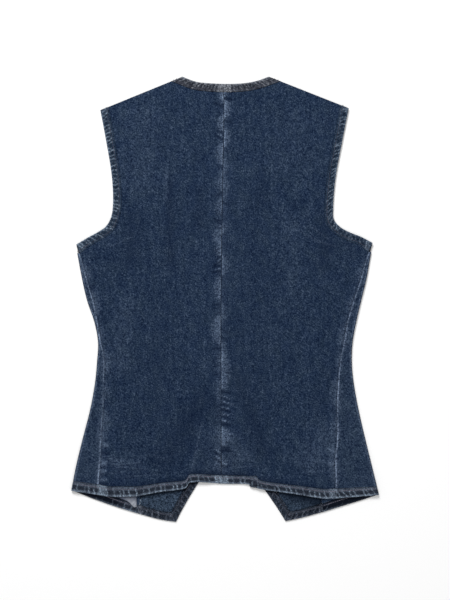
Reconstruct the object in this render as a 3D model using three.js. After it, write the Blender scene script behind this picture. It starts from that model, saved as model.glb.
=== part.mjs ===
import * as THREE from 'three';

// A denim vest, cut like a waistcoat, buttoned and laid face down on a flat surface.
// Millimetres. X runs to the right and Y to the neck as one looks down on the back, Z is up.
// The fronts lie on the surface, the back lies on the fronts, and each side front
// runs from its side seam round the side fold to a princess seam under the back.

// Walls and gaps
const CLOTH = 1.1;            // one layer of denim
const BAND_WALL = 2.0;        // a turned and stitched edge, at its middle
const BAND_ROLL = 0.4;        // how much thinner a turned edge is along its two sides
const BAND_WIDTH = 12.5;
const BAND_DROP = 0.4;        // a band's lower face under the cloth beside it, on the back
const SEAM_GAP = 0.3;
const LABEL_WALL = 1.0;

// Heights of the layers
const BACK_REST = 2.8;        // lower face of the back over the flat fronts
const HEM_RISE = 0.6;         // more than that over the hems
const FOLD_RISE = 0.3;        // and along the side folds
const BUTTON_RISE = 2.9;      // the fronts over the row of buttons
const OVERLAP_RISE = 2.3;     // the inner front over the outer front's turned edge
const BACK_RISE = 4.8;        // the back over the buttoned edge
const BACK_SAG = 0.9;         // lower face of the back where no front lies under its hem
const SHOULDER_SEAM = 1.1;    // extra wall of the seam allowances at the shoulders

// The buttoned edge
const CENTRE_FRONT = 6.5;
const OVERLAP = 12.5;         // each front past the centre front
const NECK_BREAK = 130;       // where the V ends
const LOWER_BREAK = -195;     // where the fronts cut away to their points
const BUTTON_PITCH = 78;
const BUTTON_COUNT = 5;
const BUTTON_RADIUS = 8.5;
const BUTTON_SIDES = 20;
const FIRST_BUTTON = LOWER_BREAK + 3;

// Where each rise is full and where it has run out, across from its middle and along Y
const BUTTON_RIDGE = { full: 14, none: 44, bottom: [-250, -206], top: [146, 190] };
const BACK_RIDGE = { full: 21, none: 70, bottom: [-262, -206], top: [168, 218] };
const OVERLAP_RAMP = [-40, -16];     // from the outer front's edge
const SAG_RAMP = [3, 30];            // in from the fronts' edges
const FOLD_RISE_WIDTH = 25;
const FOLD_RISE_TOP = [30, 65];
const HEM_RISE_TOP = [-260, -200];
const SHOULDER_SEAM_WIDTH = 12;

// Cells of the meshes
const SIDE_CELLS = 18;        // along the side lines
const ARMHOLE_CELLS = 14;     // along the back's armhole
const WRAP_CELLS = 8;         // across a side front's lower layer
const FRONT_ARMHOLE_CELLS = 12;
const FRONT_CELLS = 10;       // across a front
const TOP_CELLS = 3;          // across a side front's upper layer
const FOLD_CELLS = 6;         // round a side fold
const SHOULDER_CELLS = { left: 6, right: 5 };
const NECK_CELLS = 5;         // each side of the centre back

const point = (x, y) => new THREE.Vector2(x, y);
const SIGN = { left: -1, right: 1 };

// Side lines at each height: the fold is the outline, the seam joins the back and
// the side front, and the princess seam joins the side front and the front.
const SIDE_ROWS = {
  left: [
    { y: -250, fold: -223.7, seam: -187.0, princess: -119 },
    { y: -210, fold: -213.9, seam: -184.7, princess: -112 },
    { y: -165, fold: -202.5, seam: -182.0, princess: -104 },
    { y: -125, fold: -195.2, seam: -180.6, princess: -98 },
    { y: -95, fold: -192.0, seam: -180.0, princess: -94 },
    { y: -65, fold: -190.2, seam: -184.8, princess: -92 },
    { y: -35, fold: -195.2, seam: -190.2, princess: -94 },
    { y: 0, fold: -206.9, seam: -197.1, princess: -100 },
    { y: 30, fold: -214.3, seam: -206.4, princess: -108 },
  ],
  right: [
    { y: -250, fold: 220.0, seam: 164.8, princess: 136 },
    { y: -210, fold: 210.1, seam: 167.7, princess: 126 },
    { y: -165, fold: 199.6, seam: 168.0, princess: 114 },
    { y: -125, fold: 192.7, seam: 169.1, princess: 106 },
    { y: -95, fold: 189.5, seam: 172.4, princess: 102 },
    { y: -65, fold: 190.3, seam: 177.7, princess: 100 },
    { y: -35, fold: 195.6, seam: 183.2, princess: 101 },
    { y: 0, fold: 204.6, seam: 193.0, princess: 106 },
    { y: 30, fold: 211.9, seam: 203.0, princess: 113 },
  ],
};

// Corners of each side
const CORNERS = {
  left: {
    neck: point(-63.3, 333.6),
    shoulder: point(-186.4, 283.4),
    underarm: point(-222.6, 82.2),
    seamTop: point(-217.0, 69.6),
    foldTop: point(-221.2, 69.2),
    seamHem: point(-189.5, -293.0),
    foldHem: point(-230.4, -286.9),
    princessHem: point(-131, -320.8),
    hemPoint: point(-73.2, -333.6),
  },
  right: {
    neck: point(66.0, 333.6),
    shoulder: point(185.6, 286.4),
    underarm: point(221.4, 84.6),
    seamTop: point(214.9, 71.6),
    foldTop: point(219.6, 71.2),
    seamHem: point(166.0, -298.2),
    foldHem: point(230.4, -293.0),
    princessHem: point(148, -318.6),
    hemPoint: point(91.1, -332.6),
  },
};

// Armholes of the back from the underarm to the shoulder, and how far in the fronts are cut
const ARMHOLES = {
  left: [
    { x: -202.2, y: 94.3 },
    { x: -190.5, y: 100.3 },
    { x: -177.6, y: 109.3 },
    { x: -169.9, y: 123.6 },
    { x: -167.4, y: 143.3 },
    { x: -168.9, y: 183.9 },
    { x: -177.3, y: 240.9 },
  ],
  right: [
    { x: 201.5, y: 93.8 },
    { x: 187.8, y: 99.8 },
    { x: 173.4, y: 108.4 },
    { x: 164.4, y: 120.6 },
    { x: 160.9, y: 136.8 },
    { x: 165.4, y: 181.5 },
    { x: 175.9, y: 236.9 },
  ],
};
const FRONT_SCOOP = 9;        // sideways
const FRONT_SCOOP_DOWN = 3.6; // and down

// The back's neck edge, left neck point to right neck point
const NECK_EDGE = [
  { x: -43.2, y: 326.6 },
  { x: -16.2, y: 323.9 },
  { x: 8.0, y: 323.3 },
  { x: 30.0, y: 324.6 },
  { x: 47.0, y: 327.9 },
];

// The back's hem edge, with the middle that curls in and up between the fronts
const BACK_HEM = {
  left: [
    { x: -189.5, y: -293.0 },
    { x: -173.7, y: -295.6 },
    { x: -157.2, y: -295.6 },
    { x: -131.4, y: -294.8 },
    { x: -114.2, y: -291.6 },
    { x: -96.9, y: -288.4 },
    { x: -73.0, y: -285.6 },
    { x: -61.5, y: -283.4 },
    { x: -52.7, y: -274.2 },
    { x: -38.7, y: -273.8 },
    { x: -21.0, y: -275.0 },
    { x: -5.0, y: -276.3 },
  ],
  right: [
    { x: -5.0, y: -276.3 },
    { x: 16.0, y: -276.6 },
    { x: 37.0, y: -276.8 },
    { x: 50.5, y: -277.6 },
    { x: 60.5, y: -285.0 },
    { x: 79.7, y: -288.0 },
    { x: 98.0, y: -290.6 },
    { x: 116.6, y: -293.6 },
    { x: 135.0, y: -296.6 },
    { x: 150.0, y: -298.5 },
    { x: 166.0, y: -298.2 },
  ],
};

// The fronts' hem edges, from the side fold to the princess seam and on to the point
const FRONT_HEM = {
  left: { side: [{ x: -191.7, y: -300.9 }, { x: -160, y: -311.9 }], front: [{ x: -97.2, y: -329.9 }] },
  right: { side: [{ x: 205, y: -300.9 }, { x: 176, y: -309.8 }], front: [{ x: 113, y: -328.0 }] },
};

// The fronts' free edges, from the hem point up the cut-away, the buttoned edge and the V
const FRONT_EDGE = {
  left: [
    { x: -64.2, y: -315.9 },
    { x: -38.3, y: -273.2 },
    { x: 6.3, y: -216.9 },
    { x: CENTRE_FRONT + OVERLAP, y: LOWER_BREAK },
    { x: CENTRE_FRONT + OVERLAP, y: -120 },
    { x: CENTRE_FRONT + OVERLAP, y: -35 },
    { x: CENTRE_FRONT + OVERLAP, y: 50 },
    { x: CENTRE_FRONT + OVERLAP, y: NECK_BREAK },
    { x: -2, y: 180 },
    { x: -27, y: 240 },
    { x: -47, y: 290 },
  ],
  right: [
    { x: 77.5, y: -310.9 },
    { x: 52.4, y: -275.6 },
    { x: 6.3, y: -216.9 },
    { x: CENTRE_FRONT - OVERLAP, y: LOWER_BREAK },
    { x: CENTRE_FRONT - OVERLAP, y: -120 },
    { x: CENTRE_FRONT - OVERLAP, y: -35 },
    { x: CENTRE_FRONT - OVERLAP, y: 50 },
    { x: CENTRE_FRONT - OVERLAP, y: NECK_BREAK },
    { x: 12, y: 180 },
    { x: 33, y: 240 },
    { x: 51, y: 290 },
  ],
};

// Centre back seam
const CENTRE_BACK = [
  { x: -5.3, y: -239 },
  { x: -5.4, y: -1 },
  { x: -3.5, y: 149 },
  { x: -1.2, y: 290 },
];

// The pale cloth that shows on the left front's inside, under the back's hem
const LABEL = { width: 55, height: 52, seamDistance: 1.2, bandDistance: 0.8, cells: 5 };

// Colours and finishes
const denim = (color) => new THREE.MeshStandardMaterial({ color, roughness: 0.92, metalness: 0 });
const BACK_DENIM = 0x283850;
const SIDE_DENIM = 0x2b384c;
const FRONT_DENIM = 0x303c50;
const BAND_DENIM = 0x3c4658;
const labelCloth = new THREE.MeshStandardMaterial({ color: 0xa9aeb8, roughness: 0.9, metalness: 0 });
const buttonMetal = new THREE.MeshStandardMaterial({ color: 0x8a7458, roughness: 0.4, metalness: 0.9 });

// Plain arithmetic
const { lerp } = THREE.MathUtils;

function smoothStep(low, high, value) {
  const t = THREE.MathUtils.clamp((value - low) / (high - low), 0, 1);
  return t * t * (3 - 2 * t);
}

// x on a line of points at the height y; the points run up or down without turning back
function xAtHeight(line, y) {
  for (let i = 1; i < line.length; i += 1) {
    const low = line[i - 1].y < line[i].y ? line[i - 1] : line[i];
    const high = low === line[i] ? line[i - 1] : line[i];
    if (y >= low.y && y <= high.y) {
      return lerp(low.x, high.x, (y - low.y) / (high.y - low.y));
    }
  }
  const ends = [line[0], line[line.length - 1]];
  return Math.abs(ends[0].y - y) < Math.abs(ends[1].y - y) ? ends[0].x : ends[1].x;
}

// Evenly spaced points of a smooth curve through the given ones
function curvePoints(through, cells) {
  const curve = new THREE.CatmullRomCurve3(through.map((p) => new THREE.Vector3(p.x, p.y, 0)));
  return curve.getSpacedPoints(cells).map((p) => point(p.x, p.y));
}

// The line from one corner to another through the side rows between them
function sideLine(side, name, bottom, top) {
  const rows = SIDE_ROWS[side].map((row) => point(row[name], row.y));
  return curvePoints([bottom, ...rows, top], SIDE_CELLS);
}

// Directions across a line of points, all on the left of its way
function normals(line) {
  return line.map((p, i) => {
    const before = line[Math.max(i - 1, 0)];
    const after = line[Math.min(i + 1, line.length - 1)];
    const along = point(after.x - before.x, after.y - before.y).normalize();
    return point(-along.y, along.x);
  });
}

// A step along a seam from a corner, as long as a band of full width needs
function alongSeam(corner, seamEnd, edgeNeighbour) {
  const along = seamEnd.clone().sub(corner).normalize();
  const edge = point(edgeNeighbour.x, edgeNeighbour.y).sub(corner).normalize();
  return along.multiplyScalar(BAND_WIDTH / Math.abs(along.cross(edge)));
}

// The step to the inner corner of two bands that meet at a point
function mitre(corner, before, after) {
  const a = point(before.x, before.y).sub(corner).normalize();
  const b = point(after.x, after.y).sub(corner).normalize();
  const half = Math.acos(a.dot(b)) / 2;
  return a.add(b).normalize().multiplyScalar(BAND_WIDTH / Math.sin(half));
}

// A turned edge: its outer line, its stitch line, and the line where the panel starts
function turnedEdge(controls, steps, cells) {
  const outer = curvePoints(controls, cells);
  const stitch = curvePoints(controls.map((p, i) => point(p.x, p.y).add(steps[i])), cells);
  return withPanelLine(outer, stitch);
}

function withPanelLine(outer, stitch) {
  const panel = stitch.map((p, i) => {
    const across = p.clone().sub(outer[i]).normalize();
    return p.clone().addScaledVector(across, SEAM_GAP);
  });
  return { outer, stitch, panel };
}

const moved = (line, dx, dy = 0) => line.map((p) => point(p.x + dx, p.y + dy));

// An edge whose two ends are moved along X, to part it from its neighbours
function movedEnds(edge, startX, endX) {
  const move = (line) => line.map((p, i) => {
    const start = i === 0 ? startX : 0;
    const end = i === line.length - 1 ? endX : 0;
    return point(p.x + start + end, p.y);
  });
  return { outer: move(edge.outer), stitch: move(edge.stitch) };
}

// A grid between four border lines; rows run from bottom to top, columns from left to right
function patch(bottom, top, left, right) {
  const rows = left.length - 1;
  const columns = bottom.length - 1;
  const grid = [];
  for (let i = 0; i <= rows; i += 1) {
    const v = i / rows;
    const row = [];
    for (let j = 0; j <= columns; j += 1) {
      const u = j / columns;
      const between = (name) => lerp(left[i][name], right[i][name], u)
        + lerp(bottom[j][name], top[j][name], v)
        - lerp(lerp(bottom[0][name], bottom[columns][name], u), lerp(top[0][name], top[columns][name], u), v);
      row.push(point(between('x'), between('y')));
    }
    grid.push(row);
  }
  return grid;
}

// A closed wall between two grids of 3D points
function wallSolid(upper, lower) {
  const rows = upper.length;
  const columns = upper[0].length;
  const positions = [...upper.flat(), ...lower.flat()].flatMap((p) => [p.x, p.y, p.z]);
  const lowerStart = rows * columns;
  const up = (i, j) => i * columns + j;
  const down = (i, j) => lowerStart + up(i, j);
  const faces = [];
  const quad = (a, b, c, d) => faces.push(a, b, c, a, c, d);
  for (let i = 0; i < rows - 1; i += 1) {
    for (let j = 0; j < columns - 1; j += 1) {
      quad(up(i, j), up(i, j + 1), up(i + 1, j + 1), up(i + 1, j));
      quad(down(i, j), down(i + 1, j), down(i + 1, j + 1), down(i, j + 1));
    }
  }
  for (let j = 0; j < columns - 1; j += 1) {
    quad(up(0, j), down(0, j), down(0, j + 1), up(0, j + 1));
    quad(up(rows - 1, j), up(rows - 1, j + 1), down(rows - 1, j + 1), down(rows - 1, j));
  }
  for (let i = 0; i < rows - 1; i += 1) {
    quad(up(i, 0), up(i + 1, 0), down(i + 1, 0), down(i, 0));
    quad(up(i, columns - 1), down(i, columns - 1), down(i + 1, columns - 1), up(i + 1, columns - 1));
  }
  if (signedVolume(positions, faces) < 0) {
    faces.reverse();
  }
  const geometry = new THREE.BufferGeometry();
  geometry.setAttribute('position', new THREE.Float32BufferAttribute(positions, 3));
  geometry.setIndex(faces);
  geometry.computeVertexNormals();
  return geometry;
}

function signedVolume(positions, faces) {
  const corner = (k) => new THREE.Vector3().fromArray(positions, faces[k] * 3);
  let volume = 0;
  for (let k = 0; k < faces.length; k += 3) {
    volume += corner(k).dot(corner(k + 1).cross(corner(k + 2)));
  }
  return volume;
}

const raised = (p, z) => new THREE.Vector3(p.x, p.y, z);

// A panel from its plan grid, the height of its lower face and its wall
function panelSolid(grid, lowerFace, wall) {
  const upper = grid.map((row) => row.map((p) => raised(p, lowerFace(p) + wall(p))));
  const lower = grid.map((row) => row.map((p) => raised(p, lowerFace(p))));
  return wallSolid(upper, lower);
}

// A turned edge as a band, thickest along its middle
function bandSolid(edge, lowerFace) {
  const middle = edge.outer.map((p, i) => p.clone().lerp(edge.stitch[i], 0.5));
  const lines = [edge.outer, middle, edge.stitch];
  const walls = [BAND_WALL - BAND_ROLL, BAND_WALL, BAND_WALL - BAND_ROLL];
  const upper = lines.map((line, k) => line.map((p) => raised(p, lowerFace(p) + walls[k])));
  const lower = lines.map((line) => line.map((p) => raised(p, lowerFace(p))));
  return wallSolid(upper, lower);
}

// Heights of the layers
function ridgeShape(ridge, p) {
  const across = 1 - smoothStep(ridge.full, ridge.none, Math.abs(p.x - CENTRE_FRONT));
  return across * smoothStep(...ridge.bottom, p.y) * (1 - smoothStep(...ridge.top, p.y));
}

function buttonRidge(p) {
  return BUTTON_RISE * ridgeShape(BUTTON_RIDGE, p);
}

function frontFace(side) {
  return (p) => {
    const pastEdge = p.x - xAtHeight(FRONT_EDGE.right, p.y);
    const step = side === 'left' ? OVERLAP_RISE * smoothStep(...OVERLAP_RAMP, pastEdge) : 0;
    return buttonRidge(p) + step;
  };
}

function backFace(p) {
  const side = p.x < 0 ? 'left' : 'right';
  const foldLine = [CORNERS[side].foldHem, ...SIDE_ROWS[side].map((row) => point(row.fold, row.y))];
  const fromFold = Math.abs(p.x - xAtHeight(foldLine, p.y));
  const alongFold = 1 - smoothStep(...FOLD_RISE_TOP, p.y);
  const fold = FOLD_RISE * (1 - smoothStep(0, FOLD_RISE_WIDTH, fromFold)) * alongFold;
  const hem = HEM_RISE * (1 - smoothStep(...HEM_RISE_TOP, p.y));
  const height = BACK_REST + fold + hem + BACK_RISE * ridgeShape(BACK_RIDGE, p);
  const inside = Math.min(
    p.x - xAtHeight(FRONT_EDGE.left, p.y),
    xAtHeight(FRONT_EDGE.right, p.y) - p.x,
  );
  const frontsCross = FRONT_EDGE.left[2].y;
  const sag = p.y < frontsCross ? smoothStep(...SAG_RAMP, inside) : 0;
  return lerp(height, BACK_SAG, sag);
}

const backBandFace = (p) => backFace(p) - BAND_DROP;
const clothWall = () => CLOTH;

// One row of a side front: over the upper layer, round the fold and under to the princess seam
function wrapRow(sign, seam, fold, lowerLine, wall, lift) {
  const height = (p) => backFace(p) + lift;
  const radius = height(fold) / 2;
  const turn = point(fold.x - sign * radius, fold.y);
  const upper = [];
  const lower = [];
  for (let j = 0; j < TOP_CELLS; j += 1) {
    const p = seam.clone().lerp(turn, j / TOP_CELLS);
    upper.push(raised(p, height(p)));
    lower.push(raised(p, height(p) - wall));
  }
  for (let k = 0; k <= FOLD_CELLS; k += 1) {
    const angle = (Math.PI * k) / FOLD_CELLS;
    const x = (r) => turn.x + sign * r * Math.sin(angle);
    const at = (r) => new THREE.Vector3(x(r), fold.y, radius + r * Math.cos(angle));
    upper.push(at(radius));
    lower.push(at(radius - wall));
  }
  for (const p of lowerLine.slice(1)) {
    upper.push(raised(p, 0));
    lower.push(raised(p, wall));
  }
  return { upper, lower };
}

function wrapSolid(rows) {
  return wallSolid(rows.map((row) => row.upper), rows.map((row) => row.lower));
}

// Where the lower layer of a side front leaves its fold
function turnPoint(sign, fold, lift) {
  return point(fold.x - (sign * (backFace(fold) + lift)) / 2, fold.y);
}

const vest = new THREE.Group();

function add(name, geometry, material) {
  const mesh = new THREE.Mesh(geometry, material);
  mesh.name = name;
  vest.add(mesh);
  return mesh;
}

// Lines that both halves of the back share
const HEM_UP = point(0, BAND_WIDTH);
const PANEL_LIFT = CLOTH;
const BAND_LIFT = BAND_WALL - BAND_DROP;

const neckControls = [CORNERS.left.neck, ...NECK_EDGE.map((p) => point(p.x, p.y)), CORNERS.right.neck];
const neckSteps = normals(neckControls).map((n) => n.multiplyScalar(-BAND_WIDTH));
neckSteps[0] = alongSeam(CORNERS.left.neck, CORNERS.left.shoulder, neckControls[1]);
const neckLast = neckControls.length - 1;
neckSteps[neckLast] = alongSeam(CORNERS.right.neck, CORNERS.right.shoulder, neckControls[neckLast - 1]);
const neckEdge = turnedEdge(neckControls, neckSteps, 2 * NECK_CELLS);

// One side of the vest
function buildSide(side) {
  const sign = SIGN[side];
  const corner = CORNERS[side];
  const outward = (sign * SEAM_GAP) / 2;

  // the back's armhole
  const backControls = [corner.underarm, ...ARMHOLES[side].map((p) => point(p.x, p.y)), corner.shoulder];
  const inward = (line) => normals(line).map((n) => n.multiplyScalar(sign * BAND_WIDTH));
  const last = backControls.length - 1;
  const backSteps = inward(backControls);
  backSteps[0] = corner.seamTop.clone().sub(corner.underarm);
  backSteps[last] = alongSeam(corner.shoulder, corner.neck, backControls[last - 1]);
  const backArmhole = turnedEdge(backControls, backSteps, ARMHOLE_CELLS);

  // the front's armhole, cut further in
  const frontControls = backControls.map((p, i) => {
    const depth = Math.sin((Math.PI * i) / last);
    return point(p.x - sign * FRONT_SCOOP * depth, p.y - FRONT_SCOOP_DOWN * depth * depth);
  });
  const frontSteps = inward(frontControls);
  const turnTop = turnPoint(sign, corner.foldTop, PANEL_LIFT);
  frontSteps[0] = turnTop.clone().sub(corner.underarm);
  frontSteps[last] = alongSeam(corner.shoulder, corner.neck, frontControls[last - 1]);
  const frontArmhole = turnedEdge(frontControls, frontSteps, WRAP_CELLS + FRONT_ARMHOLE_CELLS);

  // side lines from the hem's stitch line to the underarm
  const rows = SIDE_ROWS[side];
  const upAlong = (p, name) => point(rows[0][name], rows[0].y).sub(p).setLength(BAND_WIDTH);
  const hemStep = {
    seam: upAlong(corner.seamHem, 'seam'),
    fold: upAlong(corner.foldHem, 'fold'),
    princess: upAlong(corner.princessHem, 'princess'),
  };
  const panelStart = (p, step) => p.clone().add(step).addScaledVector(step.clone().normalize(), SEAM_GAP);
  const seamLine = sideLine(side, 'seam', panelStart(corner.seamHem, hemStep.seam), backArmhole.panel[0]);
  const foldLine = sideLine(side, 'fold', panelStart(corner.foldHem, hemStep.fold), corner.foldTop);
  const princessTop = frontArmhole.panel[WRAP_CELLS];
  const princessStart = panelStart(corner.princessHem, hemStep.princess);
  const princessLine = sideLine(side, 'princess', princessStart, princessTop);

  // back panel
  const hemOuter = BACK_HEM[side].map((p) => point(p.x, p.y));
  const hemStitch = moved(hemOuter, HEM_UP.x, HEM_UP.y);
  const seamEnd = side === 'left' ? 0 : hemOuter.length - 1;
  hemStitch[seamEnd] = corner.seamHem.clone().add(hemStep.seam);
  const hemEdge = withPanelLine(hemOuter, hemStitch);
  hemEdge.panel[seamEnd] = seamLine[0].clone();
  const centreEnd = hemOuter.length - 1 - seamEnd;
  const centre = centreBackLine(hemEdge.panel[centreEnd], neckEdge.panel[NECK_CELLS]);
  const sideBorder = moved([...seamLine, ...backArmhole.panel.slice(1)], -outward);
  const centreBorder = moved(centre, outward);
  const isLeft = side === 'left';
  const neckStart = isLeft ? 0 : NECK_CELLS;
  const neckHalf = neckEdge.panel.slice(neckStart, neckStart + NECK_CELLS + 1);
  const neckEnd = neckHalf[isLeft ? 0 : NECK_CELLS];
  const shoulder = straight(backArmhole.panel[ARMHOLE_CELLS], neckEnd, SHOULDER_CELLS[side]);
  const topBorder = isLeft
    ? [...shoulder, ...neckHalf.slice(1)]
    : [...neckHalf, ...shoulder.reverse().slice(1)];
  const borders = isLeft ? [sideBorder, centreBorder] : [centreBorder, sideBorder];
  const backGrid = patch(hemEdge.panel, topBorder, ...borders);
  add(`back_${side}`, panelSolid(backGrid, backFace, clothWall), denim(BACK_DENIM));
  add(`armhole_band_back_${side}`, bandSolid(backArmhole, backBandFace), denim(BAND_DENIM));

  // side front, from the side seam round the fold to the princess seam
  const turnLine = foldLine.map((p) => turnPoint(sign, p, PANEL_LIFT));
  const cornerTurn = turnPoint(sign, corner.foldHem, BAND_LIFT);
  const sideHem = curvePoints([cornerTurn, ...FRONT_HEM[side].side, corner.princessHem], WRAP_CELLS);
  const sideHemStitch = sideHem.map((p, i) => {
    const step = hemStep.fold.clone().lerp(hemStep.princess, i / WRAP_CELLS);
    return p.clone().add(step);
  });
  const sideHemPanel = withPanelLine(sideHem, sideHemStitch).panel;
  sideHemPanel[0] = turnLine[0];
  sideHemPanel[WRAP_CELLS] = princessLine[0];
  const armholePanel = frontArmhole.panel.slice(0, WRAP_CELLS + 1);
  armholePanel[0] = turnLine[SIDE_CELLS];
  const underGrid = patch(sideHemPanel, armholePanel, turnLine, princessLine);
  const inside = (line) => [...line.slice(0, -1), line[line.length - 1].clone().add(point(outward, 0))];
  const sideRows = foldLine.map((fold, i) => {
    const seam = seamLine[i].clone().add(point(outward, 0));
    return wrapRow(sign, seam, fold, inside(underGrid[i]), CLOTH, PANEL_LIFT);
  });
  add(`side_front_${side}`, wrapSolid(sideRows), denim(SIDE_DENIM));

  // its hem band, round the same fold
  const foldStitch = corner.foldHem.clone().add(hemStep.fold);
  const bandRows = [
    { seam: corner.seamHem, fold: corner.foldHem, under: sideHem },
    { seam: corner.seamHem.clone().add(hemStep.seam), fold: foldStitch, under: sideHemStitch },
  ].map((row) => {
    const seam = row.seam.clone().add(point(outward, 0));
    return wrapRow(sign, seam, row.fold, inside(row.under), BAND_WALL, BAND_LIFT);
  });
  add(`hem_band_side_${side}`, wrapSolid(bandRows), denim(BAND_DENIM));

  // front, with its hem and its free edge
  const hemPoint = corner.hemPoint;
  const edgeTable = FRONT_EDGE[side].map((p) => point(p.x, p.y));
  const pointStep = mitre(hemPoint, FRONT_HEM[side].front[0], edgeTable[0]);
  const hemControls = [corner.princessHem, ...FRONT_HEM[side].front.map((p) => point(p.x, p.y)), hemPoint];
  const frontHem = turnedEdge(hemControls, [hemStep.princess, HEM_UP, pointStep], FRONT_CELLS);
  const edgeControls = [hemPoint, ...edgeTable, corner.neck];
  const edgeSteps = normals(edgeControls).map((n) => n.multiplyScalar(-sign * BAND_WIDTH));
  edgeSteps[0] = pointStep;
  const edgeLast = edgeControls.length - 1;
  edgeSteps[edgeLast] = alongSeam(corner.neck, corner.shoulder, edgeControls[edgeLast - 1]);
  const freeEdge = turnedEdge(edgeControls, edgeSteps, SIDE_CELLS + FRONT_ARMHOLE_CELLS);
  freeEdge.panel[0] = frontHem.panel[FRONT_CELLS];
  const frontHemPanel = frontHem.panel.slice();
  frontHemPanel[0] = princessLine[0];
  const frontSide = [...princessLine, ...frontArmhole.panel.slice(WRAP_CELLS + 1)];
  const frontTop = straight(frontSide.at(-1), freeEdge.panel.at(-1), FRONT_CELLS);
  const towardsMiddle = frontSide.map((p, i) => point(p.x - (i <= SIDE_CELLS ? outward : 0), p.y));
  const frontGrid = patch(frontHemPanel, frontTop, towardsMiddle, freeEdge.panel);
  const shoulderWall = (p) => {
    const along = corner.neck.clone().sub(corner.shoulder).normalize();
    const below = Math.abs(p.clone().sub(corner.shoulder).cross(along));
    return CLOTH + SHOULDER_SEAM * (1 - smoothStep(0, SHOULDER_SEAM_WIDTH, below));
  };
  add(`front_${side}`, panelSolid(frontGrid, frontFace(side), shoulderWall), denim(FRONT_DENIM));
  add(`armhole_band_front_${side}`, bandSolid(frontArmhole, () => 0), denim(BAND_DENIM));
  const shortHem = movedEnds(frontHem, -outward, outward);
  add(`hem_band_front_${side}`, bandSolid(shortHem, frontFace(side)), denim(BAND_DENIM));
  const shortEdge = movedEnds(freeEdge, -outward, 0);
  add(`edge_band_${side}`, bandSolid(shortEdge, frontFace(side)), denim(BAND_DENIM));
  return { hemEdge, sideHemStitch };
}

function straight(from, to, cells) {
  return Array.from({ length: cells + 1 }, (_, i) => from.clone().lerp(to, i / cells));
}

// The centre back seam, with as many cells as the side borders of the back
function centreBackLine(bottom, top) {
  const through = [bottom, ...CENTRE_BACK.map((p) => point(p.x, p.y)), top];
  return curvePoints(through, SIDE_CELLS + ARMHOLE_CELLS);
}

const left = buildSide('left');
const right = buildSide('right');

add('neck_band_back', bandSolid(neckEdge, backBandFace), denim(BAND_DENIM));

// the back's hem band runs from side seam to side seam
const joined = (name) => [...left.hemEdge[name], ...right.hemEdge[name].slice(1)];
const wholeHem = { outer: joined('outer'), stitch: joined('stitch') };
const shortHem = movedEnds(wholeHem, SEAM_GAP / 2, -SEAM_GAP / 2);
add('hem_band_back', bandSolid(shortHem, backBandFace), denim(BAND_DENIM));

// the pale cloth, sewn at the left princess seam and lying on the side front
function labelGrid() {
  const seamX = CORNERS.left.princessHem.x - LABEL.seamDistance;
  const bottom = straight(point(seamX - LABEL.width, 0), point(seamX, 0), LABEL.cells);
  const stitchLine = left.sideHemStitch;
  const edge = bottom.map((p) => {
    const k = stitchLine.findIndex((q) => q.x > p.x);
    const [a, b] = [stitchLine[k - 1], stitchLine[k]];
    const y = lerp(a.y, b.y, (p.x - a.x) / (b.x - a.x));
    return point(p.x, y + LABEL.bandDistance);
  });
  return [edge, moved(edge, 0, LABEL.height / 2), moved(edge, 0, LABEL.height)];
}
add('label_cloth', panelSolid(labelGrid(), () => CLOTH + SEAM_GAP, () => LABEL_WALL), labelCloth);

// five plain tack buttons, their faces on the surface, under the outer front
const buttonProfile = [
  [0, 0.4],
  [5.0, 0.4],
  [6.0, 0],
  [7.6, 0],
  [BUTTON_RADIUS, 0.7],
  [BUTTON_RADIUS, 1.7],
  [7.8, BUTTON_RISE - SEAM_GAP],
  [0, BUTTON_RISE - SEAM_GAP],
].map(([r, z]) => point(r, z));

for (let i = 0; i < BUTTON_COUNT; i += 1) {
  const geometry = new THREE.LatheGeometry(buttonProfile, BUTTON_SIDES);
  geometry.rotateX(Math.PI / 2);
  const button = add(`button_${i + 1}`, geometry, buttonMetal);
  button.position.set(CENTRE_FRONT, FIRST_BUTTON + i * BUTTON_PITCH, 0);
}

export default vest;
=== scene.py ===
# %% [markdown]
# # A denim vest laid flat
#
# The real vest is cut like a waistcoat from dark indigo denim. It lies face down, so
# the camera looks at its back, with the turned edges of neck, armholes and hem, and at
# the pointed fronts that show under the back's hem. This lesson dresses the solid model
# of the vest: each cloth piece is made again as a thin shell on the same pattern, but
# finer, with the roped edges, puckered seams and worn ridges that old denim has.
#
# The pattern is written in millimetres, as a pattern cutter would. Blender works in
# metres, so each mesh is scaled by MM when it is made, and nowhere else.

# %% Tools and the solid model
import math

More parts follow.
